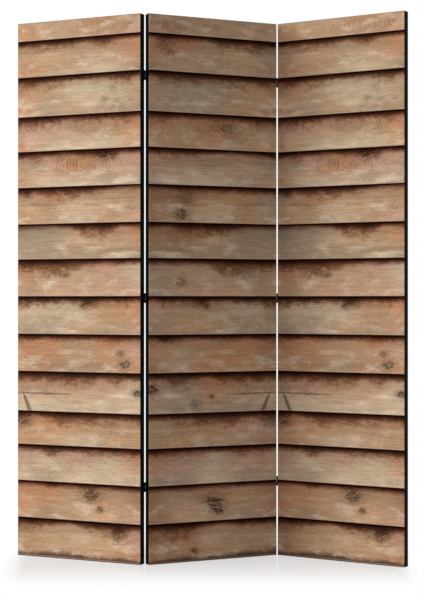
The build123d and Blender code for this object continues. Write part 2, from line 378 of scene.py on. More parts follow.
class PlainWeave(Effect):
    """Threads that pass over and under each other."""

    wander_scale: ClassVar[float] = 150.0
    title = "plain weave"
    takes = {"Position": ORIGIN, "Threads": (Port.NUMBER, 1600.0), "Slub": (Port.NUMBER, 0.3)}
    gives = {"Height": Port.NUMBER, "Thread": Port.NUMBER}

    @classmethod
    def draw(cls, graph: Graph, given: Given) -> dict[str, Socket]:
        """Draws the threads.

        Args:
            graph: The group's own tree.
            given: Finds one of the group's inputs by its name.

        Returns:
            Their height, and a number that differs from thread to thread.
        """
        x, y, _ = graph.parts(graph.times(given("Position"), given("Threads")))
        wander = graph.noise(graph.times(given("Position"), cls.wander_scale), 1.0)
        drift = graph.product(wander, given("Slub"))
        x, y = graph.total(x, drift), graph.less(y, drift)
        height = graph.math("MAXIMUM", cls.threads(graph, x, y, 1.0),
                            cls.threads(graph, y, x, -1.0))
        cell = graph.point(graph.math("FLOOR", x), graph.math("FLOOR", y))
        shade = graph.add("ShaderNodeTexWhiteNoise", {"Vector": cell}).outputs["Value"]
        return {"Height": height, "Thread": shade}

    @staticmethod
    def threads(graph: Graph, across: Socket, along: Socket, side: float) -> Socket:
        """Draws the threads that run one way.

        Args:
            graph: The group's own tree.
            across: The place across them, in threads.
            along: The place along them, in threads of the other way.
            side: 1 or -1, for which of the two ways is over the other at the start.

        Returns:
            Their height.
        """
        body = graph.math("ABSOLUTE", graph.math("SINE", graph.product(across, math.pi)))
        turn = graph.product(graph.total(along, graph.math("FLOOR", across)), math.pi)
        over = graph.math("MULTIPLY_ADD", graph.math("SINE", turn), 0.5 * side, 0.5)
        return graph.product(graph.math("SQRT", body), over)


class WoodGrain(Effect):
    """Growth rings and fibres of a board whose grain runs along x."""

    heart_off: ClassVar[float] = 6.0
    flatness: ClassVar[float] = 0.35
    wander_scale: ClassVar[tuple[float, ...]] = (5.0, 25.0, 25.0)
    fibre_scale: ClassVar[tuple[float, ...]] = (30.0, 1800.0, 1800.0)
    title = "wood grain"
    takes = {"Position": ORIGIN, "Ring": (Port.NUMBER, 0.004)}
    gives = {"Ring": Port.NUMBER, "Fibre": Port.NUMBER}

    @classmethod
    def draw(cls, graph: Graph, given: Given) -> dict[str, Socket]:
        """Draws rings round a heart beside the board, and fibres along it.

        Args:
            graph: The group's own tree.
            given: Finds one of the group's inputs by its name.

        Returns:
            How much a point lies in the dark late wood, and the fibres.
        """
        place = given("Position")
        _, y, z = graph.parts(place)
        across = graph.math("DIVIDE", y, given("Ring"))
        up = graph.math("DIVIDE", z, given("Ring"))
        wander = graph.noise(graph.vector("MULTIPLY", place, cls.wander_scale))
        bend = graph.spread(wander, -2.5, 2.5)
        radius = graph.vector("LENGTH", graph.point(
            0.0, graph.total(across, cls.heart_off), graph.product(up, cls.flatness)))
        turn = graph.math("FRACT", graph.total(radius, bend))
        ring = graph.product(graph.step(turn, 0.15, 0.85), graph.step(turn, 1.0, 0.88))
        fibre = graph.noise(graph.vector("MULTIPLY", place, cls.fibre_scale))
        return {"Ring": ring, "Fibre": fibre}


class EdgeWear(Effect):
    """Where paint is rubbed off at a piece's edges."""

    title = "edge wear"
    takes = {"Position": ORIGIN, "Reach": (Port.NUMBER, 0.0004)}
    gives = {"Bare": Port.NUMBER}

    @classmethod
    def draw(cls, graph: Graph, given: Given) -> dict[str, Socket]:
        """Draws the rubbed edges, broken up by noise.

        Args:
            graph: The group's own tree.
            given: Finds one of the group's inputs by its name.

        Returns:
            How bare a point is.
        """
        rounded = graph.add("ShaderNodeBevel", {"Radius": given("Reach")}, samples=4)
        plain = graph.add("ShaderNodeNewGeometry").outputs["Normal"]
        edge = graph.less(1.0, graph.vector("DOT_PRODUCT", rounded.outputs[0], plain))
        patches = graph.noise(graph.times(given("Position"), 900.0), 3.0, 0.7)
        bare = graph.product(graph.step(edge, 0.06, 0.22), graph.step(patches, 0.46, 0.6))
        return {"Bare": bare}


class Dust(Effect):
    """Fine dust that lies where a surface faces up, and thinly elsewhere."""

    title = "dust"
    takes = {"Position": ORIGIN, "Amount": (Port.NUMBER, 0.3)}
    gives = {"Cover": Port.NUMBER}

    @classmethod
    def draw(cls, graph: Graph, given: Given) -> dict[str, Socket]:
        """Draws clouds and specks of dust.

        Args:
            graph: The group's own tree.
            given: Finds one of the group's inputs by its name.

        Returns:
            How much of the surface the dust covers.
        """
        _, _, up = graph.parts(graph.add("ShaderNodeNewGeometry").outputs["Normal"])
        lying = graph.step(up, -0.2, 1.0, 0.12, 1.0)
        clouds = graph.step(graph.noise(graph.times(given("Position"), 14.0), 3.0), 0.3, 0.75)
        specks = graph.step(graph.noise(graph.times(given("Position"), 1600.0), 1.0), 0.52, 0.72)
        cover = graph.product(graph.total(clouds, specks), given("Amount"), lying)
        return {"Cover": cover}


class GrainArch(Effect):
    """Bends straight grain into nested arches round a heart line.

    The input Arch holds the tip's place along the board, the heart line's drop, and the
    slope, which is negative where the tips point to lower x.
    """

    blunt: ClassVar[float] = 12 * MM
    reach: ClassVar[float] = 50 * MM
    length: ClassVar[float] = 260 * MM
    title = "grain arch"
    takes = {"Position": ORIGIN, "Arch": ORIGIN}
    gives = {"Across": Port.NUMBER, "Figure": Port.NUMBER}

    @classmethod
    def draw(cls, graph: Graph, given: Given) -> dict[str, Socket]:
        """Draws the bent grain.

        Args:
            graph: The group's own tree.
            given: Finds one of the group's inputs by its name.

        Returns:
            How far across the grain a point lies, and where the arches are.
        """
        x, drop, _ = graph.parts(given("Position"))
        tip, heart, slope = graph.parts(given("Arch"))
        off = graph.less(drop, heart)
        side = graph.math("SQRT", graph.math("MULTIPLY_ADD", off, off, cls.blunt ** 2))
        inside = graph.product(graph.less(tip, x), graph.math("SIGN", slope))
        run = graph.math("MAXIMUM", inside, 0.0)
        near = graph.step(graph.math("ABSOLUTE", off), cls.reach, cls.blunt)
        steep = graph.product(graph.math("ABSOLUTE", slope), near)
        fade = graph.product(graph.step(inside, -4 * MM, 12 * MM),
                             graph.step(inside, cls.length, cls.length / 2))
        return {"Across": graph.less(side, graph.product(run, steep)),
                "Figure": graph.product(fade, near)}


class Knot(Effect):
    """A slanting knot, drawn in dark lines, that pushes the grain aside.

    Its long and wide ways mix the distances along and across the board, each with its
    own share.
    """

    push: ClassVar[float] = -0.85
    long_way: ClassVar[tuple[float, float]] = (0.62, 0.4)
    wide_way: ClassVar[tuple[float, float]] = (0.35, 0.92)
    title = "knot"
    takes = {"Position": ORIGIN, "Middle": ORIGIN, "Radius": (Port.NUMBER, 0.01),
             "Dark": (Port.NUMBER, 1.0)}
    gives = {"Push": Port.NUMBER, "Core": Port.NUMBER}

    @classmethod
    def draw(cls, graph: Graph, given: Given) -> dict[str, Socket]:
        """Draws the knot and its soft surround.

        Args:
            graph: The group's own tree.
            given: Finds one of the group's inputs by its name.

        Returns:
            How far the grain is pushed, and how dark the knot is.
        """
        x, drop, _ = graph.parts(given("Position"))
        at_x, at_drop, _ = graph.parts(given("Middle"))
        radius = graph.math("MAXIMUM", given("Radius"), 0.5 * MM)
        off = graph.less(drop, at_drop)
        along = graph.math("DIVIDE", graph.less(x, at_x), radius)
        away = graph.math("DIVIDE", off, radius)
        long = graph.less(graph.product(along, cls.long_way[0]),
                          graph.product(away, cls.long_way[1]))
        wide = graph.total(graph.product(along, cls.wide_way[0]),
                           graph.product(away, cls.wide_way[1]))
        far = graph.vector("LENGTH", graph.point(long, wide))
        ragged = graph.spread(graph.noise(graph.times(given("Position"), 120.0), 2.0), -0.35, 0.35)
        lines = graph.noise(graph.point(
            graph.product(long, 1.3), graph.product(wide, 4.5), graph.product(at_x, 60.0)),
            3.0, 0.6)
        near = graph.total(far, ragged, graph.spread(lines, -0.45, 0.45))
        body = graph.product(graph.step(near, 1.15, 0.7), graph.step(lines, 0.62, 0.4, 0.45, 1.0))
        surround = graph.step(near, 2.4, 0.7, 0.0, 0.38)
        swell = graph.math("EXPONENT", graph.product(far, far, -0.22))
        return {"Push": graph.product(off, swell, cls.push),
                "Core": graph.product(graph.math("MAXIMUM", body, surround), given("Dark"))}


class Crack(Effect):
    """A dark drying crack between two points."""

    title = "drying crack"
    takes = {"Position": ORIGIN, "Start": ORIGIN, "End": ORIGIN, "Width": (Port.NUMBER, 0.002)}
    gives = {"Dark": Port.NUMBER}

    @classmethod
    def draw(cls, graph: Graph, given: Given) -> dict[str, Socket]:
        """Draws the crack, thinning out at its ends.

        Args:
            graph: The group's own tree.
            given: Finds one of the group's inputs by its name.

        Returns:
            How dark it is.
        """
        unrest = graph.noise(graph.times(given("Position"), 90.0), 4.0)
        x, drop, _ = graph.parts(given("Position"))
        jitter = graph.spread(unrest, -2.1 * MM, 2.1 * MM)
        run = graph.vector("SUBTRACT", given("End"), given("Start"))
        reach = graph.vector("SUBTRACT", graph.point(x, graph.total(drop, jitter)), given("Start"))
        length = graph.math("MAXIMUM", graph.vector("DOT_PRODUCT", run, run), 1e-9)
        share = graph.math("DIVIDE", graph.vector("DOT_PRODUCT", reach, run), length)
        held = graph.math("MINIMUM", graph.math("MAXIMUM", share, 0.0), 1.0)
        nearest = graph.vector("SUBTRACT", reach, graph.times(run, held))
        ends = graph.product(held, graph.less(1.0, held), 4.0)
        wide = graph.product(graph.math("MULTIPLY_ADD", ends, 0.7, 0.3), given("Width"))
        gap = graph.math("DIVIDE", graph.vector("LENGTH", nearest), wide)
        return {"Dark": graph.step(gap, 1.5, 0.1)}


# Finishes


class Finish:
    """A material that is made once under its own name."""

    shelf: ClassVar[dict[str, bpy.types.Material]] = {}
    name: str

    def paint(self, graph: Graph, shader: bpy.types.Node) -> None:
        """Draws the finish round the material's shader.

        Args:
            graph: The material's tree.
            shader: Its Principled BSDF.
        """
        raise NotImplementedError

    def material(self) -> bpy.types.Material:
        """Makes the Blender material when it is first asked for.

        Returns:
            The material.
        """
        if self.name not in self.shelf:
            made = bpy.data.materials.new(self.name)
            made.use_nodes = True
            self.paint(Graph(made.node_tree), made.node_tree.nodes["Principled BSDF"])
            self.shelf[self.name] = made
        return self.shelf[self.name]


def dress(graph: Graph, shader: bpy.types.Node, values: dict[str, object]) -> None:
    """Feeds a shader's inputs.

    Args:
        graph: The material's tree.
        shader: The shader.
        values: Values or outputs by input name.
    """
    for name, value in values.items():
        graph.feed(shader.inputs[name], value)


class PrintPlace:
    """Where a point of the printed canvas lies in the picture, and the noise there.

    x is measured along the boards, drop down from a board's upper edge, rise up from its
    lower edge, and across is measured across the bent grain. arches says where nested
    arches show, and knots how dark a knot is.
    """

    board_step: ClassVar[float] = 7.31
    streak_roughness: ClassVar[float] = 0.6
    cloud_roughness: ClassVar[float] = 0.62

    def __init__(self, graph: Graph) -> None:
        """Reads the place from the mesh and bends the grain."""
        self.graph = graph
        self.x, _, _ = graph.parts(graph.on_map("print"))
        self.drop, self.rise, _ = graph.parts(graph.on_map("lap"))
        self.board = graph.product(graph.read("board"), self.board_step)
        self.flat = graph.point(self.x, self.drop, self.board)
        self.cloud = self.clouds(55 * MM, 36 * MM, 4.0)
        self.across, self.arches = self._arched()
        self.knots: object = 0.0
        for name in Board.KNOT_NAMES:
            at_x, at_drop, radius = graph.parts(graph.read(name, "Vector"))
            knot = Knot.place(graph, {
                "Position": self.flat, "Middle": graph.point(at_x, at_drop), "Radius": radius,
                "Dark": graph.read(name, "Alpha")})
            self.across = graph.total(self.across, knot["Push"])
            self.knots = graph.math("MAXIMUM", self.knots, knot["Core"])

    def _arched(self) -> tuple[Socket, Socket]:
        """Bends the grain round the board's arch.

        Returns:
            The place across the grain, and where arches show.
        """
        graph = self.graph
        sway = graph.noise(graph.vector("MULTIPLY", self.flat, (5.0, 9.0, 1.0)), 2.0)
        ripple = graph.noise(graph.vector("MULTIPLY", self.flat, (38.0, 70.0, 1.0)), 1.0)
        bent = graph.total(graph.spread(sway, -7 * MM, 7 * MM),
                           graph.spread(ripple, -1.5 * MM, 1.5 * MM))
        arch = GrainArch.place(graph, {
            "Position": graph.point(self.x, graph.total(self.drop, bent)),
            "Arch": graph.read("arch", "Vector")})
        return arch["Across"], arch["Figure"]

    def streaks(self, length: float, height: float, detail: float) -> Socket:
        """Noise that runs with the grain.

        Args:
            length: The length of its cells.
            height: Their height.
            detail: How many finer layers it has.

        Returns:
            The noise's value.
        """
        along = self.graph.math("DIVIDE", self.x, length)
        across = self.graph.math("DIVIDE", self.across, height)
        place = self.graph.point(along, across, self.board)
        return self.graph.noise(place, detail, self.streak_roughness)

    def clouds(self, length: float, height: float, detail: float) -> Socket:
        """Noise that doesn't follow the grain.

        Args:
            length: The length of its cells.
            height: Their height.
            detail: How many finer layers it has.

        Returns:
            The noise's value.
        """
        place = self.graph.vector("MULTIPLY", self.flat, (1 / length, 1 / height, 1.0))
        return self.graph.noise(place, detail, self.cloud_roughness)

    def within(self, distance: Socket, reach: Socket, far: float, near: float) -> Socket:
        """How much a stain covers.

        Args:
            distance: How far the point is from where the stain starts.
            reach: How far the stain goes.
            far: The share of its reach past which it covers nothing.
            near: The share of its reach up to which it covers all.

        Returns:
            From 0 for nothing to 1 for all.
        """
        return self.graph.step(
            distance, self.graph.product(reach, far), self.graph.product(reach, near))


@dataclass(frozen=True)
class PrintedCanvas(Finish):
    """Matt canvas printed with weathered boards.

    What differs from board to board is read from the mesh.
    """

    name: str = "board_print"
    lap_line: Colour = linear(22, 4, 0)
    lap_shade: Colour = linear(128, 72, 48)
    tinge: Colour = linear(202, 154, 124)
    stain: Colour = linear(108, 68, 43)
    deep_stain: Colour = linear(58, 31, 16)
    ring: Colour = linear(170, 128, 96)
    knot: Colour = linear(54, 30, 15)
    warm: Colour = linear(202, 156, 118)
    cool: Colour = linear(178, 155, 126)
    pale: Colour = linear(234, 213, 186)
    lower_edge: Colour = linear(216, 184, 160)
    arch_step: float = 7.0 * MM
    stain_reach: float = 1.1
    threads: float = 1500.0

    def paint(self, graph: Graph, shader: bpy.types.Node) -> None:
        """Draws the boards, and then the cloth that they are printed on.

        Args:
            graph: The material's tree.
            shader: Its Principled BSDF.
        """
        place = PrintPlace(graph)
        colour = self._wood(place)
        for lay in (self._lay_stains, self._lay_marks, self._lay_laps):
            colour = lay(place, colour)
        weave = PlainWeave.place(
            graph, {"Position": graph.on_map("cloth"), "Threads": self.threads})
        # Painted shade and highlight of the weave: the print is made up to 7% darker in the
        # hollows between the threads and 2% lighter on their crowns
        weave_shade = graph.step(weave["Height"], 0.0, 0.6, 0.93, 1.02)
        dress(graph, shader, {
            "Base Color": graph.mix(1.0, colour, graph.grey(weave_shade), "MULTIPLY"),
            "Roughness": graph.math("MULTIPLY_ADD", weave["Thread"], 0.08, 0.74),
            "Specular IOR Level": 0.04,
            "Normal": graph.bump(weave["Height"], 0.06 * MM, 0.5)})

    def _wood(self, place: PrintPlace) -> Socket:
        """Draws the bare wood, with its rings, arches, blushes and light.

        Args:
            place: Where the point lies.

        Returns:
            The wood's colour.
        """
        graph = place.graph
        rings = place.streaks(160 * MM, 4.2 * MM, 2.0)
        turn = graph.math("DIVIDE", place.across, self.arch_step / (2 * math.pi))
        unrest = graph.spread(place.streaks(60 * MM, 20 * MM, 2.0), -2.6, 2.6)
        wave = graph.math("SINE", graph.total(turn, unrest))
        patches = graph.step(place.clouds(35 * MM, 14 * MM, 2.0), 0.36, 0.58, 0.15, 1.0)
        figure = graph.product(graph.step(wave, 0.0, 0.95), place.arches, patches)
        blush = place.clouds(110 * MM, 60 * MM, 3.0)
        pale = graph.product(graph.step(place.clouds(70 * MM, 30 * MM, 4.0), 0.46, 0.72),
                             graph.step(place.drop, 30 * MM, 75 * MM))
        colour = graph.read("tone", "Color")
        colour = graph.mix(graph.step(blush, 0.5, 0.72, 0.0, 0.3), colour, self.warm)
        colour = graph.mix(graph.step(blush, 0.5, 0.3, 0.0, 0.4), colour, self.cool)
        colour = graph.mix(graph.step(rings, 0.5, 0.68, 0.0, 0.26), colour, self.ring, "MULTIPLY")
        colour = graph.mix(graph.product(figure, 0.7), colour, self.ring, "MULTIPLY")
        colour = graph.mix(graph.product(pale, 0.6), colour, self.pale)
        light = graph.step(place.drop, 10 * MM, 90 * MM, 0.88, 1.1)
        for noise, depth in (
            (place.streaks(400 * MM, 14 * MM, 2.0), 0.10),
            (place.streaks(50 * MM, 1.8 * MM, 3.0), 0.13),
            (place.clouds(90 * MM, 40 * MM, 4.0), 0.16),
            (place.clouds(8 * MM, 5 * MM, 3.0), 0.13),
        ):
            light = graph.total(light, graph.spread(noise, -depth, depth))
        return graph.mix(1.0, colour, graph.grey(light), "MULTIPLY")

    def _lay_stains(self, place: PrintPlace, colour: Socket) -> Socket:
        """Lays feathered rain stains below each lap and above the next one.

        Args:
            place: Where the point lies.
            colour: The colour so far.

        Returns:
            The stained colour.
        """
        graph = place.graph
        ragged = graph.total(graph.spread(place.clouds(15 * MM, 9 * MM, 5.0), 0.65, 1.5),
                             graph.spread(place.cloud, -0.55, 0.55))
        reach = graph.product(graph.read("stain"), self.stain_reach, ragged)
        foot_reach = graph.product(graph.read("foot_stain"), ragged)
        tinge = place.within(place.drop, reach, 1.9, 0.7)
        wet = place.within(place.drop, reach, 1.45, 0.45)
        deep = place.within(place.drop, reach, 1.0, 0.1)
        foot = place.within(place.rise, foot_reach, 1.3, 0.2)
        grit = graph.spread(place.clouds(6 * MM, 4 * MM, 3.0), 0.45, 1.0)
        patches = graph.step(place.cloud, 0.26, 0.6, 0.5, 1.0)
        colour = graph.mix(graph.product(tinge, 0.6), colour, self.tinge, "MULTIPLY")
        colour = graph.mix(graph.product(wet, grit), colour, self.stain)
        colour = graph.mix(graph.product(deep, patches), colour, self.deep_stain)
        return graph.mix(graph.product(foot, 0.85), colour, self.deep_stain)

    def _lay_marks(self, place: PrintPlace, colour: Socket) -> Socket:
        """Lays knots and drying cracks on the boards.

        Args:
            place: Where the point lies.
            colour: The colour so far.

        Returns:
            The marked colour.
        """
        graph = place.graph
        colour = graph.mix(graph.product(place.knots, 0.9), colour, self.knot)
        for name, width in zip(Board.CRACK_NAMES, Board.CRACK_WIDTHS):
            from_x, from_drop, to_x = graph.parts(graph.read(name, "Vector"))
            crack = Crack.place(graph, {
                "Position": place.flat, "Start": graph.point(from_x, from_drop),
                "End": graph.point(to_x, graph.read(name, "Alpha")), "Width": width})
            colour = graph.mix(graph.product(crack["Dark"], 0.72), colour, self.deep_stain)
        return colour

    def _lay_laps(self, place: PrintPlace, colour: Socket) -> Socket:
        """Lays the dark line and shadow under each lap, and a pale arris above the next.

        Args:
            place: Where the point lies.
            colour: The colour so far.

        Returns:
            The finished colour of the print.
        """
        graph = place.graph
        below = graph.product(place.drop, graph.spread(place.cloud, 0.7, 1.35))
        shade = graph.step(below, 26 * MM, 3 * MM, 0.0, 0.95)
        arris = graph.step(place.rise, 5 * MM, 1 * MM, 0.0, 0.4)
        line = graph.step(place.drop, 7.5 * MM, 2.5 * MM)
        colour = graph.mix(shade, colour, self.lap_shade, "MULTIPLY")
        colour = graph.mix(arris, colour, self.lower_edge)
        return graph.mix(line, colour, self.lap_line)


@dataclass(frozen=True)
class BlackCloth(Finish):
    """Black woven cloth: the plain back cover or the tape along the edges."""

    name: str
    threads: float
    colour: Colour
    sheen: float
    dust: float
    slub: float = 0.3
    dust_colour: Colour = linear(70, 68, 66)

    def paint(self, graph: Graph, shader: bpy.types.Node) -> None:
        """Draws the weave, thread by thread, with thin dust on it.

        Args:
            graph: The material's tree.
            shader: Its Principled BSDF.
        """
        cloth = graph.on_map("cloth")
        weave = PlainWeave.place(graph, {"Position": cloth, "Threads": self.threads,
                                         "Slub": self.slub})
        dust = Dust.place(graph, {"Position": graph.in_space(), "Amount": self.dust})
        worn = graph.noise(graph.times(cloth, 9.0), 3.0, 0.6)
        light = graph.product(graph.spread(worn, 0.8, 1.2),
                              graph.math("MULTIPLY_ADD", weave["Thread"], 0.5, 0.75))
        colour = graph.mix(1.0, self.colour, graph.grey(light), "MULTIPLY")
        colour = graph.mix(dust["Cover"], colour, self.dust_colour)
        dress(graph, shader, {
            "Base Color": colour,
            "Roughness": graph.math("MULTIPLY_ADD", weave["Height"], -0.12, 0.9),
            "Specular IOR Level": 0.05, "Sheen Weight": self.sheen, "Sheen Roughness": 0.4,
            "Normal": graph.bump(weave["Height"], 0.12 * MM, 0.6)})


@dataclass(frozen=True)
class Pine(Finish):
    """Planed pine with its grain along a member."""

    name: str
    turn: float
    upright: bool = False
    early: Colour = linear(224, 190, 140)
    late: Colour = linear(186, 134, 82)
    ring: float = 4.5 * MM

    def paint(self, graph: Graph, shader: bpy.types.Node) -> None:
        """Draws rings and fibres along the member.

        Args:
            graph: The material's tree.
            shader: Its Principled BSDF.
        """
        x, y, z = graph.parts(graph.in_space(self.turn))
        along = graph.point(z, y, x) if self.upright else graph.point(x, y, z)
        grain = WoodGrain.place(graph, {"Position": along, "Ring": self.ring})
        colour = graph.mix(graph.product(grain["Ring"], 0.7), self.early, self.late)
        fine = graph.spread(grain["Fibre"], 0.9, 1.1)
        colour = graph.mix(1.0, colour, graph.grey(fine), "MULTIPLY")
        dress(graph, shader, {
            "Base Color": colour, "Roughness": graph.step(grain["Ring"], 0.0, 1.0, 0.62, 0.48),
            "Normal": graph.bump(grain["Fibre"], 0.05 * MM, 0.6)})


@dataclass(frozen=True)
class PaintedSteel(Finish):
    """Satin black paint on steel, rubbed bright at the edges."""

    name: str
    paint_colour: Colour = linear(11, 11, 12)
    bare_colour: Colour = linear(150, 148, 144)
    roughness: float = 0.42
    reach: float = 0.25 * MM

    def paint(self, graph: Graph, shader: bpy.types.Node) -> None:
        """Draws the paint's orange peel and its rubbed edges.

        Args:
            graph: The material's tree.
            shader: Its Principled BSDF.
        """
        place = graph.in_space()
        bare = EdgeWear.place(graph, {"Position": place, "Reach": self.reach})["Bare"]
        peel = graph.noise(graph.times(place, 1400.0), 2.0)
        smudge = graph.noise(graph.times(place, 120.0), 3.0)
        thin = graph.product(bare, 0.45)
        dress(graph, shader, {
            "Base Color": graph.mix(thin, self.paint_colour, self.bare_colour),
            "Metallic": graph.product(thin, 0.9),
            "Roughness": graph.spread(smudge, self.roughness - 0.08, self.roughness + 0.12),
            "Specular IOR Level": 0.15, "Normal": graph.bump(peel, 0.02 * MM, 0.4)})


@dataclass(frozen=True)
class DrawnWire(Finish):
    """Bright drawn wire of a staple."""

    name: str = "bright_wire"
    bright: Colour = linear(196, 196, 198)
    dull: Colour = linear(150, 148, 142)

    def paint(self, graph: Graph, shader: bpy.types.Node) -> None:
        """Draws the wire's fine scratches and dull patches.

        Args:
            graph: The material's tree.
            shader: Its Principled BSDF.
        """
        place = graph.in_space()
        scratch = graph.noise(graph.vector("MULTIPLY", place, (3000.0, 3000.0, 500.0)), 2.0)
        patches = graph.step(graph.noise(graph.times(place, 400.0), 2.0), 0.4, 0.7)
        dress(graph, shader, {
            "Base Color": graph.mix(patches, self.bright, self.dull),
            "Metallic": 1.0, "Roughness": graph.spread(scratch, 0.25, 0.45),
            "Normal": graph.bump(scratch, 0.01 * MM, 0.5)})


# The print


class Tone(Enum):
    """Wood tones of the printed boards."""

    TAN = linear(198, 162, 128)
    HONEY = linear(198, 155, 118)
    ORANGE = linear(203, 150, 112)
    ROSE = linear(205, 162, 136)
    CREAM = linear(212, 187, 156)
    GREY = linear(182, 158, 132)
    OLIVE = linear(174, 149, 120)
    BROWN = linear(176, 134, 102)


@dataclass(frozen=True)
class Mark:
    """A knot. Its place is in shares of the board's width and height."""

    across: float
    down: float
    radius: float
    dark: float = 1.0


@dataclass(frozen=True)
class Arch:
    """Nested arches of growth rings, whose tips point right where the slope is positive."""

    tip: float
    down: float
    slope: float


@dataclass(frozen=True)
class Split:
    """A drying crack between two places, each in shares of the board's width and height."""

    start: tuple[float, float]
    end: tuple[float, float]


@dataclass(frozen=True)
class Board:
    """One printed board. Rows of values are evenly spaced from its left to its right.

    Height and stain depths are in millimetres.
    """

    KNOT_NAMES: ClassVar[tuple[str, ...]] = ("knot_a", "knot_b", "knot_c")
    CRACK_NAMES: ClassVar[tuple[str, ...]] = ("crack_a", "crack_b")
    CRACK_WIDTHS: ClassVar[tuple[float, ...]] = (2.6 * MM, 8 * MM)

    height: float
    tones: tuple[Tone, ...]
    foot: tuple[Tone, ...]
    stain: tuple[float, ...] = (0.0,)
    foot_stain: tuple[float, ...] = (0.0,)
    marks: tuple[Mark, ...] = ()
    arch: Arch | None = None
    splits: tuple[Split, ...] = ()

    def tone(self, across: float, down: float) -> Colour:
        """Finds the wood's colour.

        Args:
            across: The place across the board, as a share of its width.
            down: The place below its upper edge, as a share of its height.

        Returns:
            The colour there.
        """
        body, foot = (
            [between([tone.value[i] for tone in row], across) for i in range(3)]
            for row in (self.tones, self.foot)
        )
        low = eased((down - 0.45) / 0.45)
        return tuple(b * (1 - low) + f * low for b, f in zip(body, foot))


def wood(words: str) -> tuple[Tone, ...]:
    """The tones that the words name."""
    return tuple(Tone[word.upper()] for word in words.split())


OUTER_BOARDS = (
    Board(119, wood("tan tan honey tan"), wood("orange tan tan rose"),
          arch=Arch(0.96, 0.75, 0.8)),
    Board(117, wood("tan tan tan orange"), wood("orange tan cream olive"),
          (18, 17, 22, 20, 12, 22, 10, 12)),
    Board(128, wood("orange tan cream cream tan"), wood("orange grey tan olive olive"),
          (20, 24, 22, 20, 16, 14, 24, 18),
          marks=(Mark(0.78, 0.42, 10, 0.4), Mark(0.72, 0.66, 8, 0.5))),
    Board(112, wood("rose rose tan tan orange"), wood("orange cream cream cream honey"),
          (26, 24, 22, 10, 16, 18, 20, 16),
          arch=Arch(0.84, 0.3, 0.85)),
    Board(116, wood("tan rose orange rose rose"), wood("honey cream cream grey grey"),
          (22, 20, 14, 10, 18, 22, 14, 14),
          marks=(Mark(0.715, 0.16, 16), Mark(0.79, 0.2, 9, 1)), arch=Arch(0.31, 0.42, -0.55)),
    Board(118, wood("tan honey tan tan honey"), wood("honey tan cream tan rose"),
          (22, 14, 24, 26, 20, 10, 4, 2),
          marks=(Mark(0.08, 0.17, 11), Mark(0.93, 0.62, 11, 0.41))),
    Board(113, wood("olive grey tan tan orange"), wood("grey olive olive olive olive"),
          (6, 4, 4, 10, 28, 30, 8, 10)),
    Board(119, wood("orange tan tan rose cream"), wood("tan tan rose tan rose"),
          (26, 30, 34, 26, 16, 12, 14, 12),
          marks=(Mark(0.4, 0.45, 8, 0.65),)),
    Board(121, wood("cream cream cream honey orange"), wood("olive grey tan olive rose"),
          (24, 24, 20, 14, 22, 16, 18, 14),
          marks=(Mark(0.57, 0.12, 11), Mark(0.54, 0.25, 8, 1))),
    Board(120, wood("orange orange tan orange rose"), wood("honey brown olive brown orange"),
          (16, 16, 14, 14, 14, 14, 16, 14),
          marks=(Mark(0.88, 0.78, 13, 0.9), Mark(0.84, 0.5, 9, 0.75))),
    Board(128, wood("tan rose tan rose cream"), wood("cream cream cream cream cream"),
          (28, 24, 26, 30, 26, 20, 24, 22),
          marks=(Mark(0.98, 0.5, 12, 1),),
          splits=(Split((-0.05, 0.55), (0.45, 0.57)), Split((0.05, 0.58), (0.16, 1.45)))),
    Board(108, wood("orange orange honey tan honey"), wood("honey tan cream tan honey"),
          (16, 8, 24, 28, 24, 22, 18, 22),
          marks=(Mark(0.03, 0.24, 24, 0.8),)),
    Board(117, wood("rose cream rose cream orange"), wood("cream grey cream cream cream"),
          (12, 16, 26, 14, 16, 16, 18, 20)),
    Board(119, wood("orange orange tan honey brown"), wood("orange olive tan tan rose"),
          (8, 6, 14, 10, 12, 8, 12, 12),
          marks=(Mark(0.61, 0.3, 20, 0.89), Mark(0.68, 0.68, 8))),
    Board(123, wood("brown tan tan tan rose"), wood("brown tan tan tan brown"),
          (22, 24, 14, 8, 20, 26, 30, 20),
          (10, 16, 22, 24, 18, 12, 18, 12), marks=(Mark(0.83, 0.22, 16, 1),)),
    Board(120, wood("brown tan"), wood("brown tan"), (24,)),
)

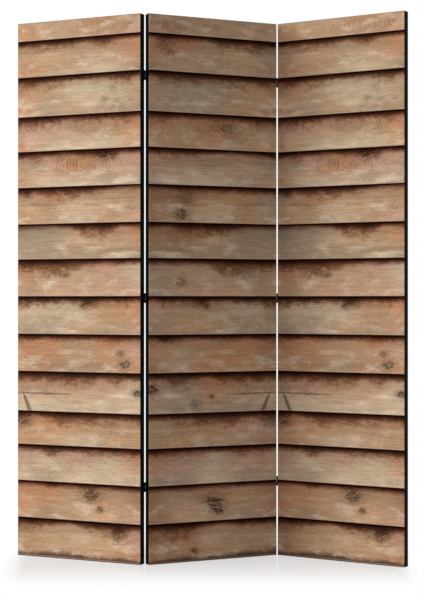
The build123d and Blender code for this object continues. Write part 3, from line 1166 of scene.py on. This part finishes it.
MIDDLE_BOARDS = (
    Board(119, wood("tan tan tan tan"), wood("rose tan tan tan"), arch=Arch(0.3, 0.75, 0.8)),
    Board(117, wood("orange orange tan tan grey"), wood("olive tan tan tan brown"),
          (12, 20, 12, 10, 24, 24, 26, 24),
          marks=(Mark(0.11, 0.35, 14, 0.53), Mark(0.16, 0.5, 11, 0.65))),
    Board(128, wood("tan grey grey tan orange"), wood("grey grey grey honey brown"),
          (18, 24, 22, 20, 26, 22, 22, 20)),
    Board(112, wood("orange honey orange tan tan"), wood("tan honey rose tan honey"),
          (24, 20, 16, 14, 12, 16, 24, 24),
          marks=(Mark(0.6, 0.4, 19, 0.65),), arch=Arch(0.74, 0.5, 0.8)),
    Board(116, wood("rose tan tan tan grey"), wood("grey cream cream grey tan"),
          (16, 20, 22, 12, 8, 8, 14, 22)),
    Board(118, wood("brown brown honey honey grey"), wood("brown tan cream honey grey"),
          (6, 10, 16, 14, 16, 16, 16, 20),
          marks=(Mark(0.28, 0.4, 14, 0.65), Mark(0.25, 0.78, 14, 1))),
    Board(113, wood("brown brown tan olive olive"), wood("olive olive olive olive grey"),
          (16, 10, 26, 30, 28, 12, 8, 8)),
    Board(119, wood("grey tan tan olive tan"), wood("grey tan rose tan tan"),
          (16, 14, 14, 14, 26, 30, 28, 24),
          marks=(Mark(0.56, 0.35, 9, 0.77), Mark(0.25, 0.65, 11, 0.77))),
    Board(121, wood("rose tan tan cream olive"), wood("grey honey tan olive grey"),
          (14, 20, 18, 18, 12, 20, 22, 24),
          marks=(Mark(0.41, 0.12, 11), Mark(0.44, 0.26, 8, 0.89))),
    Board(120, wood("orange tan orange orange brown"), wood("brown tan orange honey brown"),
          (14, 18, 12, 12, 14, 14, 16, 16),
          marks=(Mark(0.12, 0.1, 11, 1),)),
    Board(128, wood("rose grey orange tan tan"), wood("grey grey grey grey grey"),
          (18, 26, 30, 12, 26, 28, 28, 26),
          marks=(Mark(0.02, 0.4, 16, 1), Mark(0.35, 0.78, 12, 0.77), Mark(0.48, 0.6, 6, 1)),
          splits=(Split((0.6, 0.57), (1.05, 0.55)), Split((0.94, 0.58), (0.83, 1.45)))),
    Board(108, wood("tan tan honey rose rose"), wood("tan honey tan grey brown"),
          (14, 16, 22, 28, 30, 26, 14, 18),
          marks=(Mark(0.95, 0.24, 24, 0.8),)),
    Board(117, wood("orange rose cream rose tan"), wood("grey grey cream grey grey"),
          (20, 18, 14, 14, 14, 20, 20, 14)),
    Board(119, wood("brown rose honey tan brown"), wood("brown tan tan grey brown"),
          (10, 12, 14, 8, 6, 10, 10, 12),
          marks=(Mark(0.5, 0.52, 23, 1), Mark(0.54, 0.74, 10))),
    Board(123, wood("brown brown tan tan tan"), wood("brown tan tan tan brown"),
          (28, 28, 30, 12, 8, 16, 20, 22),
          (12, 14, 18, 10, 12, 22, 20, 24), marks=(Mark(0.35, 0.75, 9, 1),)),
    Board(120, wood("brown tan"), wood("brown tan"), (24,)),
)


@dataclass(frozen=True)
class BoardPrint:
    """The picture of lapped boards on one canvas."""

    boards: tuple[Board, ...]
    width: float
    height: float
    mirrored: bool = False
    hidden_top: float = 60.5 * MM

    def laps(self) -> list[float]:
        """Finds the boards' upper edges.

        Returns:
            Their heights above the floor, from the top board down.
        """
        tops, level = [], self.height + self.hidden_top
        for board in self.boards:
            tops.append(level)
            level -= board.height * MM
        return tops

    def mark(self, mesh: bpy.types.Mesh) -> None:
        """Writes on a flat cloth what the printed finish reads.

        Args:
            mesh: The cloth lying flat, with x across the panel and z up.
        """
        tops = self.laps()
        numbers: dict[str, list[float]] = {"board": [], "stain": [], "foot_stain": []}
        vectors: dict[str, list[float]] = {"arch": []}
        colours: dict[str, list[float]] = {
            name: [] for name in ("tone", *Board.KNOT_NAMES, *Board.CRACK_NAMES)}
        maps: dict[str, list[float]] = {"print": [], "lap": [], "cloth": []}
        points = [vertex.co for vertex in mesh.vertices]
        for face in mesh.polygons:
            number = max(i for i, top in enumerate(tops) if top >= face.center.z or i == 0)
            board, top = self.boards[number], tops[number]
            tall = board.height * MM
            fixed = self._fixed(board, tall)
            for corner in face.vertices:
                x, drop = points[corner].x, top - points[corner].z
                share = x / self.width
                numbers["board"].append(number)
                numbers["stain"].append(between(board.stain, share) * MM)
                numbers["foot_stain"].append(between(board.foot_stain, share) * MM)
                vectors["arch"] += fixed["arch"]
                colours["tone"] += [*board.tone(share, drop / tall), 1.0]
                for name in (*Board.KNOT_NAMES, *Board.CRACK_NAMES):
                    colours[name] += fixed[name]
                maps["print"] += [self._seen(x), self.height - points[corner].z]
                maps["lap"] += [drop, tall - drop]
                maps["cloth"] += [x, points[corner].z]
        for kind, key, table in (("FLOAT", "value", numbers), ("FLOAT_VECTOR", "vector", vectors),
                                 ("FLOAT_COLOR", "color", colours)):
            for name, values in table.items():
                mesh.attributes.new(name, kind, "CORNER").data.foreach_set(key, values)
        for name, values in maps.items():
            mesh.uv_layers.new(name=name).data.foreach_set("uv", values)

    def _seen(self, x: float) -> float:
        """Where a point across the panel lies in the picture."""
        return self.width - x if self.mirrored else x

    def _fixed(self, board: Board, tall: float) -> dict[str, list[float]]:
        """The values that are the same all over one board.

        Args:
            board: The board.
            tall: Its height in metres.

        Returns:
            The arch, knots and cracks in the picture's own metres.
        """
        found: dict[str, list[float]] = {"arch": [0.0, -400 * MM, 0.0]}
        if board.arch:
            slope = -board.arch.slope if self.mirrored else board.arch.slope
            found["arch"] = [self._seen(board.arch.tip * self.width),
                             board.arch.down * tall, slope]
        for i, name in enumerate(Board.KNOT_NAMES):
            found[name] = [FAR_AWAY, FAR_AWAY, MM, 0.0]
            if i < len(board.marks):
                mark = board.marks[i]
                found[name] = [self._seen(mark.across * self.width), mark.down * tall,
                               mark.radius * MM, mark.dark]
        for i, name in enumerate(Board.CRACK_NAMES):
            found[name] = [FAR_AWAY, FAR_AWAY, FAR_AWAY, FAR_AWAY]
            if i < len(board.splits):
                (from_x, from_drop), (to_x, to_drop) = board.splits[i].start, board.splits[i].end
                found[name] = [self._seen(from_x * self.width), from_drop * tall,
                               self._seen(to_x * self.width), to_drop * tall]
        return found


# Shapes


class ShapeTree:
    """A geometry node tree with named inputs, run on a mesh to make a plain mesh."""

    title: ClassVar[str]
    takes: ClassVar[dict[str, tuple[Port, object]]]

    @classmethod
    def draw(cls, graph: Graph, given: Given) -> Socket:
        """Draws the shape.

        Args:
            graph: The tree.
            given: Finds one of the tree's inputs by its name.

        Returns:
            The finished geometry, before its material.
        """
        raise NotImplementedError

    @classmethod
    def tree(cls) -> bpy.types.NodeTree:
        """Draws the tree when it is first asked for.

        Returns:
            The tree.
        """
        made = bpy.data.node_groups.get(cls.title)
        if made:
            return made
        tree = bpy.data.node_groups.new(cls.title, "GeometryNodeTree")
        face = tree.interface
        face.new_socket("Geometry", in_out="INPUT", socket_type=Port.GEOMETRY.value)
        face.new_socket("Finish", in_out="INPUT", socket_type=Port.MATERIAL.value)
        for name, (port, start) in cls.takes.items():
            face.new_socket(name, in_out="INPUT", socket_type=port.value).default_value = start
        face.new_socket("Geometry", in_out="OUTPUT", socket_type=Port.GEOMETRY.value)
        graph = Graph(tree)
        entry = graph.add("NodeGroupInput")
        shape = cls.draw(graph, lambda name: entry.outputs[name])
        real = graph.add("GeometryNodeRealizeInstances", {0: shape})
        dressed = graph.add("GeometryNodeSetMaterial", {
            "Geometry": real.outputs[0], "Material": entry.outputs["Finish"]})
        graph.add("NodeGroupOutput", {0: dressed.outputs[0]})
        return tree

    @classmethod
    def run(cls, name: str, base: bpy.types.Mesh, finish: Finish,
            inputs: dict[str, float], thickness: float = 0.0) -> bpy.types.Mesh:
        """Runs the tree on a mesh.

        Args:
            name: The new mesh's name.
            base: What the tree starts from.
            finish: The finish for its faces.
            inputs: Values for the tree's inputs.
            thickness: How thick a sheet becomes on its inner side, if it does.

        Returns:
            The plain mesh.
        """
        tree = cls.tree()
        holder = bpy.data.objects.new(name + "_making", base)
        bpy.context.scene.collection.objects.link(holder)
        modifier = holder.modifiers.new(cls.title, "NODES")
        modifier.node_group = tree
        values = {"Finish": finish.material(), **inputs}
        for item in tree.interface.items_tree:
            if item.item_type == "SOCKET" and item.in_out == "INPUT" and item.name in values:
                modifier[item.identifier] = values[item.name]
        if thickness:
            solid = holder.modifiers.new("thickness", "SOLIDIFY")
            solid.thickness, solid.offset, solid.use_even_offset = thickness, -1.0, True
        seen = bpy.context.evaluated_depsgraph_get()
        made = bpy.data.meshes.new_from_object(
            holder.evaluated_get(seen), preserve_all_data_layers=True, depsgraph=seen)
        made.name = name
        bpy.data.objects.remove(holder)
        bpy.data.meshes.remove(base)
        return made


class FoldedCloth(ShapeTree):
    """Folds a flat cloth round the edges of a panel's wooden frame."""

    slope_length: ClassVar[float] = 100 * MM
    title = "cloth folded over a frame"
    takes = {"Width": (Port.NUMBER, 0.449), "Height": (Port.NUMBER, 1.719),
             "Margin": (Port.NUMBER, 0.0005), "Half Depth": (Port.NUMBER, 0.0135),
             "Facing": (Port.NUMBER, -1.0), "Fold Radius": (Port.NUMBER, 0.0013),
             "Sag": (Port.NUMBER, 0.0), "Member": (Port.NUMBER, 0.038),
             "First Rail": (Port.NUMBER, 0.02), "Rail Pitch": (Port.NUMBER, 0.56)}

    @classmethod
    def draw(cls, graph: Graph, given: Given) -> Socket:
        """Moves each point of the flat cloth to where it lies on the folded one.

        Args:
            graph: The tree.
            given: Finds one of the tree's inputs by its name.

        Returns:
            The folded cloth.
        """
        x, _, z = graph.parts(graph.add("GeometryNodeInputPosition").outputs[0])
        radius = given("Fold Radius")
        halves = []
        for place, size in ((x, given("Width")), (z, given("Height"))):
            half = graph.product(size, 0.5)
            centre = graph.total(half, given("Margin"))
            off = graph.less(place, centre)
            flat = graph.less(half, radius)
            over = graph.math("MAXIMUM", graph.less(graph.math("ABSOLUTE", off), flat), 0.0)
            core = graph.math("MINIMUM", graph.math("ABSOLUTE", off), flat)
            halves.append((centre, graph.math("SIGN", off), core, over))
        (centre_x, side_x, core_x, over_x), (centre_z, side_z, core_z, over_z) = halves
        gone = graph.math("MAXIMUM", over_x, over_z)
        way = graph.vector("NORMALIZE", graph.point(over_x, 0.0, over_z))
        angle = graph.math("MINIMUM", graph.math("DIVIDE", gone, radius), math.pi / 2)
        out = graph.product(radius, graph.math("SINE", angle))
        rest = graph.math("MAXIMUM", graph.less(gone, graph.product(radius, math.pi / 2)), 0.0)
        bend = graph.product(radius, graph.less(1.0, graph.math("COSINE", angle)))
        depth = graph.total(bend, rest)
        way_x, _, way_z = graph.parts(graph.times(way, out))
        new_x = graph.math("MULTIPLY_ADD", side_x, graph.total(core_x, way_x), centre_x)
        new_z = graph.math("MULTIPLY_ADD", side_z, graph.total(core_z, way_z), centre_z)
        sag = cls.sag(graph, given, core_x, new_z)
        low = graph.less(graph.less(given("Half Depth"), depth), sag)
        new_y = graph.product(low, given("Facing"))
        moved = graph.add("GeometryNodeSetPosition", {
            "Geometry": given("Geometry"), "Position": graph.point(new_x, new_y, new_z)})
        return moved.outputs[0]

    @classmethod
    def sag(cls, graph: Graph, given: Given, off: Socket,
            level: Socket) -> Socket:
        """Lowers the taut cloth between the wooden members.

        Args:
            graph: The tree.
            given: Finds one of the tree's inputs by its name.
            off: The point's distance from the panel's upright middle line.
            level: Its height above the floor.

        Returns:
            How much lower the point lies.
        """
        member = given("Member")
        from_side = graph.less(graph.product(given("Width"), 0.5), off)
        free_x = graph.step(from_side, member, graph.total(member, cls.slope_length))
        to_rail = graph.math("PINGPONG", graph.less(level, given("First Rail")),
                             graph.product(given("Rail Pitch"), 0.5))
        half_member = graph.product(member, 0.5)
        free_z = graph.step(to_rail, half_member, graph.total(half_member, cls.slope_length))
        return graph.product(free_x, free_z, given("Sag"))


class EdgeBand(ShapeTree):
    """Sweeps a tape along a path, lifted a little where a staple lies under it."""

    title = "tape round the edges"
    takes = {"Tape Width": (Port.NUMBER, 0.0244), "Tape Thickness": (Port.NUMBER, 0.0005),
             "Lift": (Port.NUMBER, 0.0001), "Staple": (Port.NUMBER, 0.012)}

    @classmethod
    def draw(cls, graph: Graph, given: Given) -> Socket:
        """Sweeps the tape's section along the path and lays its weave along it.

        Args:
            graph: The tree.
            given: Finds one of the tree's inputs by its name.

        Returns:
            The tape.
        """
        path = graph.add("GeometryNodeMeshToCurve", {"Mesh": given("Geometry")}).outputs[0]
        path = graph.add("GeometryNodeSetCurveNormal", {"Curve": path, "Normal": (0.0, 1.0, 0.0)},
                         mode="FREE").outputs[0]
        length = graph.add("GeometryNodeSplineParameter").outputs["Length"]
        path = graph.add("GeometryNodeStoreNamedAttribute", {
            "Geometry": path, "Name": "along", "Value": length},
            data_type="FLOAT", domain="POINT").outputs[0]
        section = graph.add("GeometryNodeCurvePrimitiveQuadrilateral", {
            "Width": given("Tape Width"), "Height": given("Tape Thickness")}, mode="RECTANGLE")
        fine = graph.add("GeometryNodeSubdivideCurve", {"Curve": section.outputs[0], "Cuts": 3})
        band = graph.add("GeometryNodeCurveToMesh", {
            "Curve": path, "Profile Curve": fine.outputs[0], "Fill Caps": True}).outputs[0]
        _, deep, _ = graph.parts(graph.add("GeometryNodeInputPosition").outputs[0])
        half = graph.product(given("Staple"), 0.5)
        crown = graph.step(graph.math("ABSOLUTE", deep), graph.total(half, 2 * MM), half)
        rise = graph.product(graph.carried("lift", "FLOAT"), crown, given("Lift"))
        outward = graph.carried("outward", "FLOAT_VECTOR")
        band = graph.add("GeometryNodeSetPosition", {
            "Geometry": band, "Offset": graph.times(outward, rise)}).outputs[0]
        weave = graph.point(graph.carried("along", "FLOAT"), deep)
        return graph.add("GeometryNodeStoreNamedAttribute", {
            "Geometry": band, "Name": "cloth", "Value": weave},
            data_type="FLOAT2", domain="CORNER").outputs[0]


def flat_cloth(name: str, columns: Sequence[float], rows: Sequence[float],
               facing: float) -> bpy.types.Mesh:
    """A flat cloth in the x-z plane.

    Args:
        name: The mesh's name.
        columns: Places of its upright lines, from left to right.
        rows: Heights of its level lines, from the bottom up.
        facing: The side that its faces look to: FRONT or BACK.

    Returns:
        The mesh.
    """
    points = [(x, 0.0, z) for z in rows for x in columns]
    wide = len(columns)
    faces = []
    for row in range(len(rows) - 1):
        for column in range(wide - 1):
            low = row * wide + column
            face = (low, low + 1, low + wide + 1, low + wide)
            faces.append(face if facing == FRONT else face[::-1])
    mesh = bpy.data.meshes.new(name)
    mesh.from_pydata(points, [], faces)
    return mesh


def spaced(start: float, end: float, step: float) -> list[float]:
    """Evenly spaced places after start, up to and with end, about a step apart."""
    count = max(1, round(abs(end - start) / step))
    return [start + (end - start) * i / count for i in range(1, count + 1)]


# Sub-assemblies


@dataclass(frozen=True)
class PanelPlace:
    """Where one panel stands."""

    side: str
    foot: Vector
    along: Vector

    @classmethod
    def found(cls, side: str, width: float) -> "PanelPlace":
        """Finds a panel's place from the middles of its two stiles.

        Args:
            side: The panel's side.
            width: The panel's width.

        Returns:
            The place.
        """
        middles = []
        for stile in Panel.STILES:
            low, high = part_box(f"{side}_panel_{stile}")
            middles.append((low + high) / 2)
        along = middles[1] - middles[0]
        along.z = 0.0
        along.normalize()
        middle = (middles[0] + middles[1]) / 2
        middle.z = 0.0
        return cls(side, middle - along * (width / 2), along)

    @property
    def turn(self) -> float:
        """The angle in degrees that the panel is turned by about the upright axis."""
        return math.degrees(math.atan2(self.along.y, self.along.x))

    @property
    def matrix(self) -> Matrix:
        """Takes the panel's own coordinates to the frame."""
        return Matrix.Translation(self.foot) @ Matrix.Rotation(math.radians(self.turn), 4, "Z")


@dataclass
class Panel:
    """One panel: its canvas, its back cloth and the tape round its edges."""

    STILES: ClassVar[tuple[str, ...]] = ("left_stile", "right_stile")
    RAILS: ClassVar[tuple[str, ...]] = ("bottom_rail", "lower_rail", "upper_rail", "top_rail")

    side: str
    picture: BoardPrint
    hinged: tuple[str, ...]
    width: float = 0.450
    height: float = 1.720
    depth: float = 0.027
    tape: float = 0.5 * MM
    cloth: float = 0.5 * MM
    fold_radius: float = 1.3 * MM
    seam: float = 1.0 * MM
    member: float = 38 * MM
    column_step: float = 16 * MM
    row_step: float = 24 * MM
    front_sag: float = 0.15 * MM
    back_sag: float = 1.2 * MM
    staple_margin: float = 69 * MM
    staple_pitch: float = 85 * MM
    hinge_levels: tuple[float, ...] = (0.240, 0.832, 1.530)
    hinge_room: float = 27 * MM
    tape_lift: float = 0.12 * MM
    staple_length: float = 12 * MM
    place: PanelPlace = field(init=False)

    def __post_init__(self) -> None:
        """Finds where the panel stands."""
        self.place = PanelPlace.found(self.side, self.width)

    @property
    def name(self) -> str:
        """The panel's body, and the start of its nodes' names."""
        return f"{self.side}_panel"

    @property
    def turn_in(self) -> float:
        """How much cloth goes round an edge, from the flat of the face to the seam."""
        wall = self.depth / 2 - self.seam / 2 - self.fold_radius
        return self.fold_radius * math.pi / 2 + wall

    def lines(self, size: float, inner: Sequence[float]) -> list[float]:
        """Places of a flat cloth's lines across one of its directions.

        Args:
            size: The panel's size in that direction.
            inner: Places of the lines on the flat of the face.

        Returns:
            All places in order, with close ones where the cloth is folded.
        """
        start = self.tape + self.fold_radius
        arc = self.fold_radius * math.pi / 2
        steps = [self.turn_in, (self.turn_in + arc) / 2, *(arc * i / 5 for i in range(5, -1, -1))]
        support = start + 0.5 * MM
        low = [start - step for step in steps] + [support]
        high = [size - place for place in reversed(low)]
        flat = [place for place in inner if support + MM < place < size - support - MM]
        return low + flat + high

    def folded(self, kind: str, facing: float, rows: list[float], finish: Finish,
               sag: float, marked: bool) -> bpy.types.Mesh:
        """One cloth, folded over the frame.

        Args:
            kind: What the cloth is called.
            facing: The face that it covers: FRONT or BACK.
            rows: Heights of its level lines.
            finish: Its finish.
            sag: How far it lies lower between the wooden members.
            marked: Whether the picture is printed on it.

        Returns:
            The mesh in the panel's own coordinates.
        """
        columns = self.lines(self.width, spaced(0.0, self.width, self.column_step))
        base = flat_cloth(kind, columns, rows, facing)
        if marked:
            self.picture.mark(base)
        else:
            spots = [base.vertices[loop.vertex_index].co for loop in base.loops]
            values = [value for spot in spots for value in (spot.x, spot.z)]
            base.uv_layers.new(name="cloth").data.foreach_set("uv", values)
        first_rail = self.tape + self.cloth + self.member / 2
        return FoldedCloth.run(f"{self.name}_{kind}", base, finish, {
            "Width": self.width - 2 * self.tape, "Height": self.height - 2 * self.tape,
            "Margin": self.tape, "Half Depth": self.depth / 2, "Facing": facing,
            "Fold Radius": self.fold_radius, "Sag": sag, "Member": self.member,
            "First Rail": first_rail, "Rail Pitch": (self.height - 2 * first_rail) / 3,
        }, self.cloth)

    def piece(self, kind: str, mesh: bpy.types.Mesh, node: str) -> bpy.types.Object:
        """Makes a finished mesh a piece that stands for one of the panel's nodes.

        Args:
            kind: What the piece is called.
            mesh: Its mesh in the panel's own coordinates.
            node: The end of the node's name.

        Returns:
            The piece.
        """
        mesh.transform(self.place.matrix)
        mesh.shade_smooth()
        mesh.set_sharp_from_angle(angle=math.radians(40))
        made = bpy.data.objects.new(f"{self.name}_{kind}", mesh)
        bpy.context.scene.collection.objects.link(made)
        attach(made, self.name)
        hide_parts(f"{self.name}_{node}")
        log.info("%s: %d faces", made.name, len(mesh.polygons))
        return made

    def stretch_canvas(self) -> None:
        """The printed canvas over the front."""
        inner: list[float] = []
        tops = [*self.picture.laps(), 0.0]
        for top, bottom in zip(tops, tops[1:]):
            inner += spaced(top, bottom, self.row_step)
        rows = self.lines(self.height, sorted(set(inner)))
        mesh = self.folded("canvas", FRONT, rows, PrintedCanvas(), self.front_sag, True)
        self.piece("canvas", mesh, "print_canvas")

    def stretch_back(self) -> None:
        """The plain black cloth over the back."""
        finish = BlackCloth("back_cover_weave", 1100.0, linear(46, 45, 46), 0.3, 0.05)
        rows = self.lines(self.height, spaced(0.0, self.height, self.row_step))
        mesh = self.folded("back_cover", BACK, rows, finish, self.back_sag, False)
        self.piece("back_cover", mesh, "back_cloth")

    def staple_places(self, length: float, hinged: bool) -> list[float]:
        """Places of the staples along one edge.

        Args:
            length: The edge's length.
            hinged: Whether hinges keep some staples away.

        Returns:
            Distances from the edge's lower or left end.
        """
        margin = self.staple_margin
        places = [margin, *spaced(margin, length - margin, self.staple_pitch)]
        if not hinged:
            return places
        return [place for place in places
                if all(abs(place - level) > self.hinge_room for level in self.hinge_levels)]

    def tape_spots(self, run: float, staples: Sequence[float]) -> dict[float, float]:
        """Finds where the tape's line needs points along one straight edge.

        Args:
            run: The length of the straight line, without the rounded corners.
            staples: Places of the staples, from the edge's corner.

        Returns:
            How much the tape is lifted at each place along the line.
        """
        spots = {0.0: 0.0, run: 0.0}
        for place in staples:
            for off, lift in ((-2.4, 0.0), (-0.8, 1.0), (0.8, 1.0), (2.4, 0.0)):
                spots[place - self.fold_radius + off * MM] = lift
        for place in spaced(0.0, run, 40 * MM)[:-1]:
            if all(abs(place - spot) > 6 * MM for spot in spots):
                spots[place] = 0.0
        return spots

    def tape_path(self) -> tuple[list[Vector], list[float], list[Vector]]:
        """Leads the tape's middle line round the panel from the middle of the bottom edge.

        Returns:
            The line's points, how much each is lifted, and the way out of the panel there.
        """
        inset = self.tape / 2
        bend = self.fold_radius - inset
        low_x, high_x, low_z, high_z = inset, self.width - inset, inset, self.height - inset
        corners = [Vector((low_x, 0, low_z)), Vector((high_x, 0, low_z)),
                   Vector((high_x, 0, high_z)), Vector((low_x, 0, high_z))]
        outs = [Vector((0, 0, -1)), Vector((1, 0, 0)), Vector((0, 0, 1)), Vector((-1, 0, 0))]
        points: list[Vector] = []
        lifts: list[float] = []
        ways: list[Vector] = []
        for number, side in enumerate(("bottom", "right", "top", "left")):
            # an edge runs the way that the next one faces
            following = (number + 1) % 4
            out, ahead = outs[number], outs[following]
            start, end = corners[number] + ahead * bend, corners[following] - ahead * bend
            size = self.width if number % 2 == 0 else self.height
            staples = self.staple_places(size, side in self.hinged)
            if number > 1:
                staples = [size - place for place in staples]
            spots = self.tape_spots((end - start).length, staples)
            for spot in sorted(spots):
                points.append(start + ahead * spot)
                lifts.append(spots[spot])
                ways.append(out)
            centre = end - out * bend
            for i in range(1, 5):
                angle = math.pi / 2 * i / 5
                way = out * math.cos(angle) + ahead * math.sin(angle)
                points.append(centre + way * bend)
                lifts.append(0.0)
                ways.append(way)
        middle = min(i for i, point in enumerate(points) if point.x > self.width / 2)
        order = [*range(middle, len(points)), *range(middle)]
        half_joint = 0.2 * MM
        first = Vector((self.width / 2 + half_joint, 0, low_z))
        last = Vector((self.width / 2 - half_joint, 0, low_z))
        return ([first, *(points[i] for i in order), last],
                [0.0, *(lifts[i] for i in order), 0.0],
                [outs[0], *(ways[i] for i in order), outs[0]])

    def lay_tape(self) -> None:
        """The black tape round the panel's four edges."""
        points, lifts, ways = self.tape_path()
        base = bpy.data.meshes.new("tape_path")
        base.from_pydata(points, [(i, i + 1) for i in range(len(points) - 1)], [])
        base.attributes.new("lift", "FLOAT", "POINT").data.foreach_set("value", lifts)
        base.attributes.new("outward", "FLOAT_VECTOR", "POINT").data.foreach_set(
            "vector", [value for way in ways for value in way])
        finish = BlackCloth("edge_tape_weave", 1900.0, linear(9, 9, 10), 0.02, 0.02, 0.15)
        mesh = EdgeBand.run(f"{self.name}_edge_band", base, finish, {
            "Tape Width": self.depth - 2 * self.fold_radius, "Tape Thickness": self.tape,
            "Lift": self.tape_lift, "Staple": self.staple_length})
        self.piece("edge_band", mesh, "edge_tape")

    def dress_frame(self) -> None:
        """The wood and staples under the cloth."""
        turn = self.place.turn
        finishes = {
            **{stile: Pine("pine_upright", 0.0, upright=True) for stile in self.STILES},
            "dowels": Pine(f"{self.side}_dowel_wood", turn, late=linear(206, 164, 112),
                           ring=2.2 * MM),
            "staples": DrawnWire(),
        }
        for rail in self.RAILS:
            finishes[rail] = Pine(f"{self.side}_pine_level", turn)
        for node, finish in finishes.items():
            paint_node(f"{self.name}_{node}", finish)

    def build(self) -> None:
        """Builds and dresses the whole panel."""
        self.stretch_canvas()
        self.stretch_back()
        self.lay_tape()
        self.dress_frame()


def paint_node(node: str, finish: Finish) -> None:
    """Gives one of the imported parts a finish.

    Args:
        node: The part's name.
        finish: The finish.
    """
    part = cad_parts[node]
    if not part.material_slots:
        part.data.materials.append(finish.material())
    for slot in part.material_slots:
        slot.material = finish.material()
    log.info("%s: %s", node, finish.name)


@dataclass
class Fold:
    """The hinges that join two panels."""

    side: str
    heights: tuple[str, ...] = ("bottom", "middle", "top")

    def build(self) -> None:
        """Paints the hinges, pins and screws."""
        plate = PaintedSteel("painted_leaf")
        pin = PaintedSteel("painted_pin", roughness=0.34)
        screw = PaintedSteel("painted_screw", roughness=0.36, reach=0.15 * MM)
        for height in self.heights:
            for part in ("front_leaf", "link", "back_leaf"):
                paint_node(f"{self.side}_fold_{height}_hinge_{part}", plate)
        for face in ("front", "back"):
            paint_node(f"{self.side}_fold_{face}_pins", pin)
            paint_node(f"{self.side}_fold_{face}_leaf_screws", screw)


@dataclass(frozen=True)
class StudioFloor(Finish):
    """Pale smooth floor that is plain white away from the screen."""

    name: str = "studio_floor"
    colour: Colour = linear(250, 245, 242)
    half_length: float = 0.56
    end_fall: float = 5.0
    near: float = 0.05
    far: float = 0.5
    lifted: float = 0.62

    def paint(self, graph: Graph, shader: bpy.types.Node) -> None:
        """Draws the floor, lit near the screen and white to the camera further off.

        Args:
            graph: The material's tree.
            shader: Its Principled BSDF.
        """
        dress(graph, shader, {
            "Base Color": self.colour, "Roughness": 0.16, "Specular IOR Level": 0.4})
        x, y, _ = graph.parts(graph.in_space())
        beside = graph.less(graph.math("ABSOLUTE", x), self.half_length)
        past_end = graph.product(graph.math("MAXIMUM", beside, 0.0), self.end_fall)
        away = graph.vector("LENGTH", graph.point(past_end, y))
        white = graph.add("ShaderNodeEmission", {"Color": (1.0, 1.0, 1.0), "Strength": 1.0})
        cover = graph.product(graph.looked_at(),
                              graph.step(away, self.near, self.far, self.lifted, 1.0))
        both = graph.add("ShaderNodeMixShader", {
            0: cover, 1: shader.outputs["BSDF"], 2: white.outputs["Emission"]})
        end = graph.tree.nodes["Material Output"]
        graph.feed(end.inputs["Surface"], both.outputs[0])


@dataclass(frozen=True)
class SoftLamp:
    """A square lamp that points at the screen."""

    name: str
    bearing: float
    height: float
    distance: float
    size: float
    power: float
    colour: Colour = (1.0, 1.0, 1.0)
    aim: float = 0.86

    def hang(self) -> None:
        """Hangs the lamp. Its bearing is measured from the camera's side towards the left."""
        lamp = bpy.data.lights.new(self.name, "AREA")
        lamp.shape, lamp.size, lamp.energy = "SQUARE", self.size, self.power
        lamp.color = self.colour
        made = bpy.data.objects.new(self.name, lamp)
        angle = math.radians(self.bearing)
        made.location = (-self.distance * math.sin(angle), -self.distance * math.cos(angle),
                         self.height)
        way = Vector((0.0, 0.0, self.aim)) - made.location
        made.rotation_euler = way.to_track_quat("-Z", "Y").to_euler()
        bpy.context.scene.collection.objects.link(made)


@dataclass
class Studio:
    """Floor, light and camera."""

    camera_place: tuple[float, float, float] = (0.0105, -4.942, 0.826)
    lens: float = 93.48
    sensor: float = 36.0
    ambient: float = 0.04
    floor_size: float = 16.0
    lamps: tuple[SoftLamp, ...] = (
        SoftLamp("key_lamp", bearing=82.0, height=3.0, distance=10.0, size=5.4, power=950.0),
        SoftLamp("fill_lamp", bearing=-18.0, height=1.8, distance=5.0, size=2.0, power=52.0,
                 colour=(0.93, 0.98, 1.06)),
    )

    def lay_floor(self) -> None:
        """The floor."""
        half, level = self.floor_size / 2, -0.1 * MM
        mesh = bpy.data.meshes.new("studio_floor")
        mesh.from_pydata([(-half, -half, level), (half, -half, level), (half, half, level),
                          (-half, half, level)], [], [(0, 1, 2, 3)])
        mesh.materials.append(StudioFloor().material())
        floor = bpy.data.objects.new("studio_floor", mesh)
        bpy.context.scene.collection.objects.link(floor)

    def light(self) -> None:
        """The lamps, and a world that is dim to the surfaces and white to look at."""
        for lamp in self.lamps:
            lamp.hang()
        world = bpy.data.worlds.new("studio_world")
        world.use_nodes = True
        graph = Graph(world.node_tree)
        sky = world.node_tree.nodes["Background"]
        graph.feed(sky.inputs["Color"], (1.0, 1.0, 1.0))
        strength = graph.step(graph.looked_at(), 0.0, 1.0, self.ambient, 1.0)
        graph.feed(sky.inputs["Strength"], strength)
        bpy.context.scene.world = world

    def set_camera(self) -> None:
        """The camera, level and square to the screen."""
        data = bpy.data.cameras.new("camera")
        data.lens, data.sensor_width = self.lens, self.sensor
        made = bpy.data.objects.new("camera", data)
        made.location = self.camera_place
        made.rotation_euler = (math.pi / 2, 0.0, 0.0)
        bpy.context.scene.collection.objects.link(made)
        bpy.context.scene.camera = made

    def build(self) -> None:
        """Sets up the whole studio."""
        bpy.context.scene.view_settings.view_transform = "Standard"
        self.set_camera()
        self.lay_floor()
        self.light()


def main() -> None:
    """Builds the screen and its studio."""
    logging.basicConfig(level=logging.INFO, format="%(message)s")
    width, height = 0.450, 1.720
    outer = BoardPrint(OUTER_BOARDS, width, height)
    middle = BoardPrint(MIDDLE_BOARDS, width, height, mirrored=True)
    Studio().build()
    Panel("left", outer, hinged=("right",)).build()
    Panel("middle", middle, hinged=("left", "right")).build()
    Panel("right", outer, hinged=("left",)).build()
    for side in ("left", "right"):
        Fold(side).build()


if __name__ == "__main__":
    main()
